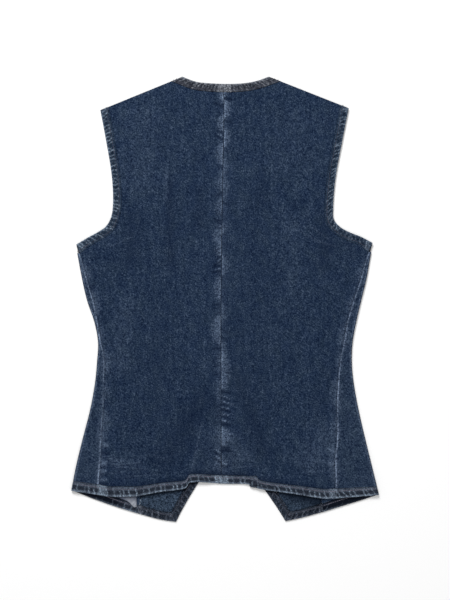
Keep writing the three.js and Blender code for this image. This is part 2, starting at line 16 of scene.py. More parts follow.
import bpy
import numpy as np
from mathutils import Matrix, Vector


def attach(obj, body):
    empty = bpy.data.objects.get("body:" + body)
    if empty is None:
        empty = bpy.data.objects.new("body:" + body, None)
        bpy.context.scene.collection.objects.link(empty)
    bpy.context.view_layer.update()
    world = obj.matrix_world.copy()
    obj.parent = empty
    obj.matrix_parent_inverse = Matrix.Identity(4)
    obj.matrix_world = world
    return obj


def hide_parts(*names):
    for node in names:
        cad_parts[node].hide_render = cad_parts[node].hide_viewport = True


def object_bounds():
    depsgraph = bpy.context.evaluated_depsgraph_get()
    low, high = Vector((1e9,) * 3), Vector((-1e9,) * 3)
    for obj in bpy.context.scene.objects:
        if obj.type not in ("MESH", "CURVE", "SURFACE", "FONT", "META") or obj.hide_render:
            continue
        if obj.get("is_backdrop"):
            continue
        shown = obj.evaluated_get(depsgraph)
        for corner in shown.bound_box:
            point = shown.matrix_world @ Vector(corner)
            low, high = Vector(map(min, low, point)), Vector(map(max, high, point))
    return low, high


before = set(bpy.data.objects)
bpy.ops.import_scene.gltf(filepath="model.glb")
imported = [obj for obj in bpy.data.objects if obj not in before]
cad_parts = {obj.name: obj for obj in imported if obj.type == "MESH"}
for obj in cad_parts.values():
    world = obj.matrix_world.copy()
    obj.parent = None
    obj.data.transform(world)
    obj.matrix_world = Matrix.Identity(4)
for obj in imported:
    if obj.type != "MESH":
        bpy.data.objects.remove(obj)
cad_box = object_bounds()
print("solid model:", len(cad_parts), "nodes")

# %% [markdown]
# ## The camera
#
# The vest is seen from straight above. A long lens far away would show no perspective at
# all; this one stands at 2.25 m, as a person with a camera on a ladder would. The lens
# is chosen so that the picture is 900 mm tall at the surface, which is what the vest's
# size asks for. Nothing here sets the picture's size, because that isn't the scene's job.

# %% Camera
MM = 0.001
CAMERA_HEIGHT = 2.25
PICTURE_TALL = 0.9
CAMERA_X, CAMERA_Y = 0.0003, -0.0009


def place_object(name, data):
    """A new object at the origin, in the scene."""
    made = bpy.data.objects.new(name, data)
    bpy.context.scene.collection.objects.link(made)
    return made


camera_data = bpy.data.cameras.new("camera")
camera_data.sensor_width = 36.0
camera_data.lens = camera_data.sensor_width * CAMERA_HEIGHT / PICTURE_TALL
camera = place_object("camera", camera_data)
camera.location = (CAMERA_X, CAMERA_Y, CAMERA_HEIGHT)
bpy.context.scene.camera = camera
print("lens:", round(camera_data.lens, 1), "mm")

# %% [markdown]
# ## Sizes of the cloth
#
# These are the walls, gaps and heights of the layers. The fronts lie on the surface, the
# back lies on the fronts, and over the buttons everything is a little higher. The same
# values made the solid model, so the shells lie where the solids are.

# %% Sizes
CLOTH = 1.1
BAND_WALL = 2.0
BAND_ROLL = 0.4
BAND_WIDTH = 12.5
BAND_DROP = 0.4
SEAM_GAP = 0.14
LABEL_WALL = 1.0
BACK_REST = 2.8
HEM_RISE = 0.6
FOLD_RISE = 0.3
BUTTON_RISE = 2.9
OVERLAP_RISE = 2.3
BACK_RISE = 4.8
BACK_SAG = 0.9
SHOULDER_SEAM = 1.1
SHOULDER_SEAM_WIDTH = 12
CENTRE_FRONT = 6.5
OVERLAP = 12.5
NECK_BREAK = 130
LOWER_BREAK = -195

# Where each rise is full and where it has run out, across from its middle and along Y
BUTTON_RIDGE = {"full": 14, "none": 44, "bottom": (-250, -206), "top": (146, 190)}
BACK_RIDGE = {"full": 21, "none": 70, "bottom": (-262, -206), "top": (168, 218)}
OVERLAP_RAMP = (-40, -16)
SAG_RAMP = (3, 30)
FOLD_RISE_WIDTH = 25
FOLD_RISE_TOP = (30, 65)
HEM_RISE_TOP = (-260, -200)
print("denim", CLOTH, "mm, turned edges", BAND_WALL, "mm")

# %% [markdown]
# ## The pattern
#
# A pattern is a handful of lines: where the sides, armholes, neck and hems run. Each
# line is a short table of points, and a smooth curve goes through them. Left and right
# have their own numbers, because cloth never lies the same way on both sides.

# %% Pattern tables
SIGN = {"left": -1, "right": 1}

# Side lines: height, side fold, side seam, princess seam
SIDE_ROWS = {
    "left": [
        (-250, -223.0, -187.0, -119), (-210, -213.3, -184.7, -112),
        (-165, -201.8, -182.0, -104), (-125, -194.5, -180.6, -98),
        (-95, -191.6, -180.0, -94), (-65, -190.0, -184.8, -92),
        (-35, -195.2, -190.2, -94), (0, -206.9, -197.1, -100), (30, -213.8, -206.4, -108),
    ],
    "right": [
        (-250, 220.6, 164.8, 136), (-210, 210.8, 167.7, 126),
        (-165, 200.4, 168.0, 114), (-125, 193.2, 169.1, 106),
        (-95, 190.3, 172.4, 102), (-65, 191.4, 177.7, 100),
        (-35, 196.8, 183.2, 101), (0, 204.8, 193.0, 106), (30, 212.2, 203.0, 113),
    ],
}
ROW_COLUMN = {"fold": 1, "seam": 2, "princess": 3}

CORNERS = {
    "left": {
        "neck": (-63.3, 333.6), "shoulder": (-186.4, 283.4), "underarm": (-222.6, 82.2),
        "seam_top": (-217.0, 69.6), "fold_top": (-221.2, 69.2),
        "seam_hem": (-189.5, -293.0), "fold_hem": (-230.4, -286.9),
        "princess_hem": (-131, -320.8), "hem_point": (-73.2, -333.6),
    },
    "right": {
        "neck": (66.0, 333.6), "shoulder": (185.6, 286.4), "underarm": (221.4, 84.6),
        "seam_top": (214.9, 71.6), "fold_top": (219.6, 71.2),
        "seam_hem": (166.0, -298.2), "fold_hem": (231.2, -293.1),
        "princess_hem": (148, -318.6), "hem_point": (91.1, -332.6),
    },
}
CORNERS = {side: {name: np.array(p, float) for name, p in table.items()}
           for side, table in CORNERS.items()}

# Armholes of the back, from the underarm to the shoulder
ARMHOLES = {
    "left": [(-202.2, 94.3), (-191.0, 100.3), (-178.1, 109.3), (-170.2, 123.6),
             (-167.5, 143.3), (-169.2, 183.9), (-178.4, 240.9)],
    "right": [(203.8, 93.9), (188.8, 99.8), (173.2, 108.2), (163.2, 120.6),
              (162.3, 137.6), (165.9, 181.5), (175.9, 236.9)],
}
FRONT_SCOOP = 9
FRONT_SCOOP_DOWN = 3.6
NECK_EDGE = [(-43.2, 326.2), (-16.2, 323.4), (8.0, 322.8), (30.0, 324.0), (47.0, 327.1)]

# The back's hem, left side seam to right side seam
BACK_HEM = [
    (-189.5, -293.0), (-173.7, -295.6), (-157.2, -295.6), (-131.4, -294.8),
    (-114.2, -291.6), (-96.9, -288.4), (-73.0, -285.6), (-62.0, -283.8), (-58.4, -282.4),
    (-55.6, -278.6), (-54.0, -275.4), (-51.0, -274.2), (-38.7, -273.8), (-21.0, -275.0),
    (-5.0, -276.3), (16.0, -276.6), (33.0, -276.8), (36.4, -277.6), (37.6, -280.2),
    (40.0, -281.6), (46.0, -282.2), (51.0, -283.6), (57.0, -284.8), (79.7, -288.0),
    (98.0, -290.6), (116.6, -293.6), (135.0, -296.6), (150.0, -298.5), (166.0, -298.2),
]
HEM_CENTRE = 14

# The fronts' hems, from the side fold to the princess seam and on to the point
FRONT_HEM = {
    "left": {"side": [(-191.7, -300.9), (-160, -311.9)], "front": [(-97.2, -329.9)]},
    "right": {"side": [(205, -300.9), (176, -309.8)], "front": [(113, -328.0)]},
}

# The fronts' free edges, from the hem point up to the neck
LEFT_EDGE = CENTRE_FRONT + OVERLAP
RIGHT_EDGE = CENTRE_FRONT - OVERLAP
FRONT_EDGE = {
    "left": [(-64.2, -315.9), (-38.3, -273.2), (6.3, -216.9), (LEFT_EDGE, LOWER_BREAK),
             (LEFT_EDGE, -120), (LEFT_EDGE, -35), (LEFT_EDGE, 50), (LEFT_EDGE, NECK_BREAK),
             (-2, 180), (-27, 240), (-47, 290)],
    "right": [(77.5, -310.9), (52.4, -275.6), (6.3, -216.9), (RIGHT_EDGE, LOWER_BREAK),
              (RIGHT_EDGE, -120), (RIGHT_EDGE, -35), (RIGHT_EDGE, 50), (RIGHT_EDGE, NECK_BREAK),
              (12, 180), (33, 240), (51, 290)],
}
FRONT_EDGE = {side: np.array(line, float) for side, line in FRONT_EDGE.items()}
FRONTS_CROSS = FRONT_EDGE["left"][2, 1]
CENTRE_BACK = [(-5.3, -239), (-5.4, -1), (-3.5, 149), (-1.2, 290)]
print("pattern:", len(BACK_HEM), "points on the back's hem")

# %% [markdown]
# ## Lines and curves
#
# A Catmull-Rom curve goes through every point that it is given, so a table of measured
# points is enough. The centripetal kind, used here, never loops at points that are close
# together. `along` then walks a line by its length, so that cells come out even.

# %% Line tools
LINE_STEPS = 50


def unit(v):
    return v / np.linalg.norm(v, axis=-1, keepdims=True)


def smooth_step(low, high, value):
    t = np.clip((np.asarray(value, float) - low) / (high - low), 0.0, 1.0)
    return t * t * (3.0 - 2.0 * t)


def x_at_height(line, y):
    order = np.argsort(line[:, 1])
    return np.interp(y, line[order, 1], line[order, 0])


def curve_at(points, where):
    """Points of a smooth curve; `where` counts the given points from 0."""
    points = np.asarray(points, float)
    ends = np.vstack([2 * points[0] - points[1], points, 2 * points[-1] - points[-2]])
    k = np.minimum(where.astype(int), len(points) - 2)
    t = (where - k)[:, None]
    p0, p1, p2, p3 = ends[k], ends[k + 1], ends[k + 2], ends[k + 3]

    def stride(a, b):
        return np.sqrt(np.linalg.norm(b - a, axis=1))[:, None]

    d0, d1, d2 = stride(p0, p1), stride(p1, p2), stride(p2, p3)
    m1 = ((p1 - p0) / d0 - (p2 - p0) / (d0 + d1) + (p2 - p1) / d1) * d1
    m2 = ((p2 - p1) / d1 - (p3 - p1) / (d1 + d2) + (p3 - p2) / d2) * d1
    c2 = 3 * (p2 - p1) - 2 * m1 - m2
    c3 = 2 * (p1 - p2) + m1 + m2
    return p1 + m1 * t + c2 * t**2 + c3 * t**3


def travelled(line):
    steps = np.linalg.norm(np.diff(line, axis=0), axis=1)
    return np.concatenate([[0.0], np.cumsum(steps)])


def along(line, fractions):
    """Points of a line at fractions of its length."""
    way = travelled(line)
    target = np.asarray(fractions) * way[-1]
    return np.stack([np.interp(target, way, line[:, k]) for k in range(line.shape[1])], axis=1)


def smooth_line(points, fractions, first=0, last=None):
    """A smooth curve from one of its points to another, at fractions of its length."""
    last = len(points) - 1 if last is None else last
    dense = curve_at(points, np.linspace(first, last, LINE_STEPS * (last - first) + 1))
    return along(dense, fractions)


def graded(length, fine, coarse, margin, corner=None):
    """Fractions from 0 to 1, close together near both ends, one of them at the corner."""
    place = [0.0]
    while place[-1] < length:
        nearest = max(min(place[-1], length - place[-1]), 0.0)
        wider = smooth_step(margin, 3 * margin, nearest)
        place.append(place[-1] + fine + (coarse - fine) * float(wider))
    fractions = np.array(place) / place[-1]
    if corner is not None:
        fractions[np.argmin(np.abs(fractions - corner))] = corner
    return fractions


def even(length, cell):
    return np.linspace(0.0, 1.0, max(2, round(length / cell)) + 1)


hem_line = smooth_line(BACK_HEM, even(400, 1))
print("back's hem:", round(float(travelled(hem_line)[-1])), "mm along its line")

# %% [markdown]
# ## Turned edges
#
# On the real vest each edge is folded in twice and topstitched, so it is a band about
# 12.5 mm wide and thicker than the cloth beside it. In the pattern a band is its outer
# line, and the stitch line beside it. At a corner the step from one line to the other
# follows the seam there, or the mitre where two bands meet.

# %% Edge tools


def normals(line):
    i = np.arange(len(line))
    way = unit(line[np.minimum(i + 1, len(line) - 1)] - line[np.maximum(i - 1, 0)])
    return np.stack([-way[:, 1], way[:, 0]], axis=1)


def along_seam(corner, seam_end, neighbour):
    seam, edge = unit(seam_end - corner), unit(neighbour - corner)
    return seam * BAND_WIDTH / abs(seam[0] * edge[1] - seam[1] * edge[0])


def mitre(corner, before, after):
    a, b = unit(before - corner), unit(after - corner)
    half = math.acos(float(a @ b)) / 2
    return unit(a + b) * BAND_WIDTH / math.sin(half)


def panel_line(outer, stitch, gap=SEAM_GAP):
    return stitch + unit(stitch - outer) * gap


class TurnedEdge:
    """The outer line of a turned edge and the stitch line beside it."""

    def __init__(self, outer, across, start=None, end=None, start_seam=None, end_seam=None):
        self.outer = np.array(outer, float)
        steps = normals(self.outer) * across * BAND_WIDTH
        if start_seam is not None:
            start = along_seam(self.outer[0], start_seam, self.outer[1])
        if end_seam is not None:
            end = along_seam(self.outer[-1], end_seam, self.outer[-2])
        steps[0] = steps[0] if start is None else start
        steps[-1] = steps[-1] if end is None else end
        self.steps = steps

    def lines(self, fractions, first=0, last=None):
        return (smooth_line(self.outer, fractions, first, last),
                smooth_line(self.outer + self.steps, fractions, first, last))

    def panel(self, fractions, first=0, last=None):
        return panel_line(*self.lines(fractions, first, last))

    def length(self, first=0, last=None):
        return travelled(self.lines(even(100, 1), first, last)[0])[-1]


def column(side, name, bottom, top):
    """A side line through its rows, between two corners."""
    k = ROW_COLUMN[name]
    return np.array([bottom, *[(row[k], row[0]) for row in SIDE_ROWS[side]], top], float)


print("band:", BAND_WIDTH, "mm wide")

# %% [markdown]
# ## Heights of the layers
#
# Cloth that lies on cloth takes the shape of what is under it, only softer. So the height
# of each layer is one function of the place on the pattern: the fronts rise over the
# buttons, the back rises over the buttoned edge, and it sags where nothing lies under
# it. Because it is a function, every mesh that asks for a height gets the same answer.

# %% Heights


def ridge_shape(ridge, p):
    across = 1 - smooth_step(ridge["full"], ridge["none"], np.abs(p[..., 0] - CENTRE_FRONT))
    y = p[..., 1]
    return across * smooth_step(*ridge["bottom"], y) * (1 - smooth_step(*ridge["top"], y))


def front_face(side):
    def height(p):
        past_edge = p[..., 0] - x_at_height(FRONT_EDGE["right"], p[..., 1])
        step = OVERLAP_RISE * smooth_step(*OVERLAP_RAMP, past_edge) if side == "left" else 0
        return BUTTON_RISE * ridge_shape(BUTTON_RIDGE, p) + step
    return height


FOLD_LINES = {side: np.array([CORNERS[side]["fold_hem"],
                              *[(row[1], row[0]) for row in SIDE_ROWS[side]]], float)
              for side in SIGN}


def back_face(p):
    """Height of the back's lower face."""
    x, y = p[..., 0], p[..., 1]
    fold_x = np.where(x < 0, x_at_height(FOLD_LINES["left"], y),
                      x_at_height(FOLD_LINES["right"], y))
    fold = FOLD_RISE * (1 - smooth_step(0, FOLD_RISE_WIDTH, np.abs(x - fold_x)))
    fold = fold * (1 - smooth_step(*FOLD_RISE_TOP, y))
    hem = HEM_RISE * (1 - smooth_step(*HEM_RISE_TOP, y))
    height = BACK_REST + fold + hem + BACK_RISE * ridge_shape(BACK_RIDGE, p)
    inside = np.minimum(x - x_at_height(FRONT_EDGE["left"], y),
                        x_at_height(FRONT_EDGE["right"], y) - x)
    sag = np.where(y < FRONTS_CROSS, smooth_step(*SAG_RAMP, inside), 0.0)
    return height + (BACK_SAG - height) * sag


print("back over the buttons:", round(float(back_face(np.array([CENTRE_FRONT, 0.0]))), 2), "mm")

# %% [markdown]
# ## From grids to closed shells
#
# A cloth piece is two grids of points, its upper and its lower face, joined by thin walls
# along the borders. Such a shell is closed, has a real thickness and can be made from
# numbers in one go, which a solidify modifier on a bent sheet couldn't promise at the
# corners. Each point also carries two values for the materials: how pale it is, where the
# dye has rubbed off and where the broad folds get painted light, and `shade`, the painted
# shade of hollows, creases and the hem's shadow, with the dark lines of the seams.

# %% Shell tools
SHARP_ANGLE = math.radians(55)
shells = {}
cuts = {}


def patch(bottom, top, left, right, u, v):
    """A grid between four border lines; rows run from bottom to top."""
    u, v = u[None, :, None], v[:, None, None]
    sideways = left[:, None] * (1 - u) + right[:, None] * u
    upwards = bottom[None] * (1 - v) + top[None] * v
    low = bottom[0] * (1 - u) + bottom[-1] * u
    high = top[0] * (1 - u) + top[-1] * u
    return sideways + upwards - (low * (1 - v) + high * v)


def wall_faces(rows, columns):
    number = np.arange(rows * columns).reshape(rows, columns)
    a, b, c, d = number[:-1, :-1], number[:-1, 1:], number[1:, 1:], number[1:, :-1]
    top = np.stack([a, b, c, d], axis=-1).reshape(-1, 4)
    under = number + rows * columns
    rims = []
    for line, low, turn in ((number[0], under[0], 1), (number[-1], under[-1], -1),
                            (number[:, -1], under[:, -1], 1), (number[:, 0], under[:, 0], -1)):
        rim = np.stack([line[:-1], low[:-1], low[1:], line[1:]], axis=-1)
        rims.append(rim[:, ::turn])
    return np.concatenate([top, top[:, ::-1] + rows * columns, *rims])


def enclosed(points, faces):
    a, b, c, d = (points[faces[:, k]] for k in range(4))
    return float(np.sum(a * np.cross(b, c)) + np.sum(a * np.cross(c, d))) / 6


def shell(name, upper, lower, wear=0.0, shade=0.0):
    rows, columns = upper.shape[:2]
    points = np.concatenate([upper.reshape(-1, 3), lower.reshape(-1, 3)])
    faces = wall_faces(rows, columns)
    if enclosed(points, faces) < 0:
        faces = faces[:, ::-1]
    mesh = bpy.data.meshes.new(name)
    mesh.from_pydata((points * MM).tolist(), [], faces.tolist())
    for label, value in (("wear", wear), ("shade", shade)):
        spread = np.broadcast_to(np.clip(value, 0.0, 1.0), (rows, columns)).ravel()
        layer = mesh.attributes.new(label, "FLOAT", "POINT")
        layer.data.foreach_set("value", np.tile(spread, 2).astype(np.float32))
    mesh.shade_smooth()
    mesh.set_sharp_from_angle(angle=SHARP_ANGLE)
    shells[name] = place_object(name, mesh)


def note_cut(name, grid):
    """The size that a piece is cut to: its longest row and column, and its area, in metres."""
    rows, columns = np.diff(grid, axis=1), np.diff(grid, axis=0)
    cells = np.linalg.norm(np.cross(rows[:-1], columns[:, :-1]), axis=-1)
    cells = cells + np.linalg.norm(np.cross(rows[1:], columns[:, 1:]), axis=-1)
    width = np.linalg.norm(rows, axis=-1).sum(axis=1).max()
    length = np.linalg.norm(columns, axis=-1).sum(axis=0).max()
    cuts[name] = (width * MM, length * MM, float(cells.sum()) / 2 * MM * MM)


def at_height(plan, z):
    return np.concatenate([plan, np.broadcast_to(z, plan.shape[:2])[..., None]], axis=-1)


def border_drop(plan, radius=1.1, depth=0.5):
    """How far the upper face falls at its borders, where the seams pull it down."""
    near = np.full(plan.shape[:2], np.inf)
    for line in (plan[:1], plan[-1:], plan[:, :1], plan[:, -1:]):
        near = np.minimum(near, np.linalg.norm(plan - line, axis=-1))
    return depth * (1 - np.clip(near / radius, 0, 1)) ** 2, near


print("a wall of 3 by 3 points has", len(wall_faces(3, 3)), "faces")

# %% [markdown]
# ## Creases and worn patches
#
# The seams of old denim pucker: the allowances underneath shrink, the cloth on top
# stands up in short bulges, and the bulges rub pale. Where each one lies is what makes
# this vest look like itself, so they are listed one by one. A patch is a low raised field
# beside a seam. A slash is one crease: a long soft trough or ridge at an angle.

# %% Crease tools
PATCH_SOFT = 2.5
PATCH_GROWTH = 1.2
# A patch starts beside the seam, and slopes down about its outline
PATCH_START, PATCH_SLOPE = (0.2, 0.9), (-4.5, 2.5)
# It is rubbed over its field, round its rim, and in a thin ragged line beside the seam
FIELD_TONE, RIM_TONE, LINE_TONE, LINE_POWER = 0.27, 0.10, 0.52, 1.2
RIM_WIDTH, LINE_WIDTH, LINE_OUT = 1.2, 0.8, 1.2
# How its outline wanders, its field is mottled and its line is ragged: sizes and paces
WANDER = {"mean": 0.9, "slow": (0.14, 0.8), "quick": (0.10, 1.9)}
MOTTLE = {"out": 2.3, "way": 1.7, "mean": 0.8, "wave": (0.2, 1, 0)}
RAGGED = {"slow": (0.35, 1.3), "quick": (0.25, 3.1)}
# Each of them starts at the patch's two ends, over these shares of its lens shape
FIELD_ENDS, RIM_ENDS, LINE_ENDS = (0, 0.6), (0.3, 0.9), (0.1, 0.8)
SLASH_FADE = (0.65, 1.05)


def bell(value, width):
    return np.exp(-(value / width) ** 2)


def uneven(place, mean, *waves):
    """A value that wanders about its mean; each wave has a size, a pace and a start."""
    for size, pace, start in waves:
        mean = mean + size * np.sin(pace * place + start)
    return mean


def swelling(place, mean, size, first, second):
    """A value that swells where two slow waves meet; each has a pace and a start."""
    return mean + size * np.sin(first[0] * place + first[1]) * np.sin(second[0] * place + second[1])


def window(value, low, high, soft):
    rise = smooth_step(low - soft, low + soft, value)
    return rise * (1 - smooth_step(high - soft, high + soft, value))


class Relief:
    """Height, wear with painted light, and painted shade, that creases and patches add to a face.
    """

    def __init__(self, shape):
        self.lift, self.wear, self.shade = np.zeros(shape), np.zeros(shape), np.zeros(shape)

    def add(self, shape, lift, tone):
        self.lift += lift * shape
        self.wear += max(tone, 0.0) * shape
        self.shade += max(-tone, 0.0) * shape

    def line(self, distance, row, share=1.0):
        """A long soft line; row: width, lift, tone."""
        width, lift, tone = row
        self.add(bell(distance, width) * share, lift, tone)

    def patches(self, out, way, table):
        """Rows: top, bottom, width, lift, tone; out is the distance from the seam."""
        for top, bottom, width, lift, tone in table:
            share = (way - (top + bottom) / 2) / ((top - bottom) / 2 + PATCH_SOFT)
            lens = np.sqrt(np.clip(1 - share**2, 0, 1))
            wander = uneven(way, WANDER["mean"], (*WANDER["slow"], 0), (*WANDER["quick"], width))
            outline = PATCH_GROWTH * width * lens * wander
            inside = smooth_step(*PATCH_START, out) * (1 - smooth_step(*PATCH_SLOPE, out - outline))
            place = MOTTLE["out"] * out + MOTTLE["way"] * way
            mottled = uneven(place, MOTTLE["mean"], MOTTLE["wave"])
            field = inside * smooth_step(*FIELD_ENDS, lens) * mottled
            ragged = uneven(way, LINE_OUT, (*RAGGED["slow"], top), (*RAGGED["quick"], 0))
            self.add(field, lift, FIELD_TONE * tone)
            rim, line = RIM_TONE * tone, LINE_TONE * tone**LINE_POWER
            self.line(out - outline, (RIM_WIDTH, 0.0, rim), smooth_step(*RIM_ENDS, lens))
            self.line(out - ragged, (LINE_WIDTH, 0.0, line), smooth_step(*LINE_ENDS, lens))

    def slashes(self, x, y, table):
        """Rows: middle x and y, length, angle in degrees, width, lift, tone."""
        for cx, cy, length, angle, width, lift, tone in table:
            c, s = math.cos(math.radians(angle)), math.sin(math.radians(angle))
            down = (x - cx) * c + (y - cy) * s
            over = (y - cy) * c - (x - cx) * s
            ends = 1 - smooth_step(*SLASH_FADE, np.abs(down) / (length / 2))
            self.line(over, (width, lift, tone), ends)


print("patches reach", PATCH_SOFT, "mm past their ends")

# %% [markdown]
# ## Where the creases are
#
# These tables are the vest's handwriting. Distances are from the seam, heights are in
# the vest's own frame. A tone above 0 is pale wear, and on the broad folds of the back painted
# light; below 0 it is painted shade in a hollow.

# %% Creases beside the centre back seam
# Rows: top, bottom, width, lift, tone
CENTRE_PATCHES = {
    "left": [
        (313, 297, 5, 0.5, 1.0), (275, 253, 8, 0.7, 0.70), (233, 203, 10, 0.8, 0.60),
        (191, 163, 7, 0.6, 0.30), (149, 127, 10, 0.8, 0.45), (106, 82, 13, 0.9, 0.50),
        (80, 66, 8, 0.9, 0.75), (33, 0, 9, 0.9, 0.70), (-25, -66, 13, 1.0, 0.70),
        (-80, -104, 6, 0.5, 0.25), (-120, -150, 7, 0.5, 0.25), (-196, -214, 6, 0.5, 0.25),
        (-232, -256, 7, 0.6, 0.30),
    ],
    "right": [
        (313, 304, 5, 0.4, 0.65), (299, 272, 8, 0.8, 0.90), (255, 230, 8, 0.7, 0.80),
        (209, 187, 7, 0.6, 0.40), (181, 151, 8, 0.5, 0.25), (113, 99, 7, 0.6, 0.40),
        (66, 37, 9, 0.8, 0.50), (-6, -33, 6, 0.6, 0.40), (-64, -92, 7, 0.7, 0.45),
        (-83, -134, 12, 1.0, 0.70), (-193, -217, 13, 1.0, 0.80), (-236, -252, 8, 0.6, 0.35),
    ],
}
# Rows: distance from the seam, height, length, angle, width, lift, tone
CENTRE_SLASHES = [
    (7, 300, 12, -12, 2.4, -0.7, -0.60), (-7, 291, 14, -25, 2.4, -0.6, -0.50),
    (7, 266, 12, -20, 1.8, -0.5, -0.45), (-7, 250, 12, -28, 1.3, -0.6, -0.50),
    (-5, 246, 9, -26, 0.8, 0.5, 0.45), (-7, 242, 13, -30, 1.6, -0.6, -0.55),
    (6, 222, 10, -35, 1.4, -0.5, -0.40),
    (-6, 157, 11, 30, 1.5, -0.6, -0.50), (7, 142, 12, -30, 1.5, -0.5, -0.45),
    (-6, 118, 12, -18, 1.5, -0.6, -0.60), (-5, 114, 10, -22, 1.1, -0.5, -0.50),
    (-4, 110, 7, -16, 0.8, 0.5, 0.50), (6, 82, 12, -35, 1.4, -0.5, -0.40),
    (-4, 62, 10, 42, 1.2, -0.6, -0.55), (-5, 58, 9, 44, 0.7, 0.5, 0.45),
    (-6, 54, 13, 38, 1.2, -0.7, -0.60), (-7, 49, 13, 14, 1.5, -0.8, -0.60),
    (-4, 45.5, 8, 8, 0.7, 0.4, 0.40), (-7, 41, 13, 6, 1.5, -0.7, -0.60),
    (6, 32, 12, -30, 1.4, -0.5, -0.35), (-6, -8, 12, 6, 1.2, -0.6, -0.60),
    (-7, -13, 12, 12, 1.1, -0.5, -0.45), (-5, -21, 9, 20, 1.2, -0.5, -0.40),
    (7, -48, 12, -30, 1.5, -0.6, -0.40), (-6, -74, 11, 6, 1.5, -0.6, -0.55),
    (-6, -112, 11, 20, 1.3, -0.5, -0.35), (6, -139, 13, -12, 1.8, -0.7, -0.65),
    (7, -146, 13, -24, 0.8, 0.5, 0.42), (6, -149.5, 12, -20, 1.3, -0.7, -0.55),
    (8, -154.5, 17, -16, 0.8, 0.6, 0.55), (6, -158.5, 12, -14, 1.3, -0.7, -0.55),
    (5, -162.5, 11, -14, 0.9, 0.5, 0.40), (7, -166.5, 14, -18, 1.6, -0.7, -0.65),
    (5, -172, 11, -12, 1.0, 0.5, 0.44), (6, -177, 13, -15, 1.3, -0.7, -0.55),
    (5, -181.5, 11, -12, 0.9, 0.6, 0.62), (6, -187.5, 13, -12, 2.0, -0.7, -0.65),
    (-4, -160, 8, 24, 1.1, -0.5, -0.40), (-4, -167, 7, 18, 1.0, -0.5, -0.35),
    (-5, -175, 9, 26, 1.2, -0.5, -0.42), (-4, -184, 8, 16, 1.2, -0.5, -0.38),
    (6, -222, 11, -6, 1.6, -0.6, -0.50), (7, -226.5, 13, -4, 2.2, -0.8, -0.70),
    (-4, -227, 10, -38, 0.8, 0.5, 0.48), (-5, -232, 11, -34, 1.4, -0.6, -0.60),
    (-4, -237, 9, -30, 0.8, 0.5, 0.42), (-5, -241, 12, -24, 1.5, -0.6, -0.55),
    (5, -245.5, 8, -10, 1.4, 0.5, 0.45), (5, -251, 9, -12, 1.3, -0.5, -0.45),
    (-5, 198, 9, -10, 1.2, -0.5, -0.40), (-5, 127, 9, -14, 1.1, -0.5, -0.40),
    (-5, 106, 9, -8, 1.1, -0.5, -0.40), (-5, 75, 9, 20, 1.1, -0.5, -0.45),
    (-5, 69, 8, 26, 1.0, -0.5, -0.40), (-5, 14, 9, 8, 1.0, -0.5, -0.35),
    (-5, -89, 9, 10, 1.2, -0.5, -0.40), (6, 190, 9, -14, 1.2, -0.5, -0.35),
    (5, 97, 8, -20, 1.0, -0.4, -0.35), (5, 17, 9, -16, 1.0, -0.5, -0.30),
    (6, -60, 10, -24, 1.2, -0.5, -0.40), (8, -108, 12, -30, 1.2, -0.5, -0.35),
    (-6, -100, 9, 14, 1.0, -0.5, -0.30), (-5, -206, 9, 10, 1.2, -0.5, -0.35),
]

# %% Creases beside the side seams
# Rows: top, bottom, width, lift, tone
SIDE_PATCHES = {
    "left": [
        (52, 30, 7, 0.5, 0.30), (12, -22, 8, 0.6, 0.40), (-40, -58, 6, 0.5, 0.30),
        (-74, -112, 9, 0.6, 0.35), (-130, -150, 7, 0.5, 0.30), (-166, -214, 9, 0.6, 0.35),
        (-232, -266, 8, 0.6, 0.35),
    ],
    "right": [
        (56, 26, 7, 0.5, 0.30), (6, -16, 7, 0.5, 0.35), (-34, -66, 9, 0.6, 0.40),
        (-82, -100, 6, 0.5, 0.30), (-118, -160, 10, 0.6, 0.35), (-178, -206, 8, 0.5, 0.35),
        (-224, -270, 9, 0.6, 0.40),
    ],
}
# Rows: distance from the seam, height, length, angle, width, lift, tone
SIDE_SLASHES = {
    "left": [
        (7, 20, 13, 48, 1.6, -0.5, -0.35), (8, -30, 14, 52, 1.6, -0.5, -0.35),
        (7, -66, 12, 45, 1.5, -0.5, -0.35), (9, -90, 16, 3, 1.3, -0.5, -0.35),
        (7, -158, 12, 26, 1.5, -0.5, -0.30), (7, -186, 12, 6, 1.5, -0.5, -0.30),
        (6, -218, 11, 2, 2.6, 0.5, 0.26), (7, -231, 14, -3, 2.6, -0.7, -0.60),
        (7, -238, 12, 3, 1.2, -0.5, -0.35), (6, -245, 11, 0, 2.2, 0.5, 0.26),
        (7, -252, 12, -4, 1.3, -0.6, -0.45), (6, -257, 10, 2, 1.6, 0.5, 0.24),
        (7, -263, 13, 3, 1.4, -0.6, -0.45), (7, -270, 12, -2, 1.8, 0.5, 0.26),
        (8, -276, 14, 2, 1.6, -0.6, -0.50),
    ],
    "right": [
        (7, 24, 13, 40, 1.6, -0.5, -0.35), (8, -22, 14, 46, 1.6, -0.5, -0.30),
        (7, -74, 12, 30, 1.5, -0.5, -0.35), (8, -108, 14, 12, 1.6, -0.5, -0.35),
        (7, -168, 12, 20, 1.5, -0.5, -0.30), (7, -214, 12, 8, 1.6, -0.5, -0.35),
        (6, -226, 11, 4, 2.4, 0.5, 0.20), (7, -236, 13, 2, 1.8, -0.6, -0.40),
        (6, -246, 12, -3, 2.0, 0.5, 0.22), (8, -256, 14, 3, 1.6, -0.6, -0.40),
        (7, -272, 12, 0, 1.8, -0.5, -0.35), (5, -8, 9, 36, 1.2, -0.5, -0.35),
        (5, -40, 9, 30, 1.2, -0.5, -0.35), (5, -58, 9, 24, 1.2, -0.5, -0.35),
    ],
}
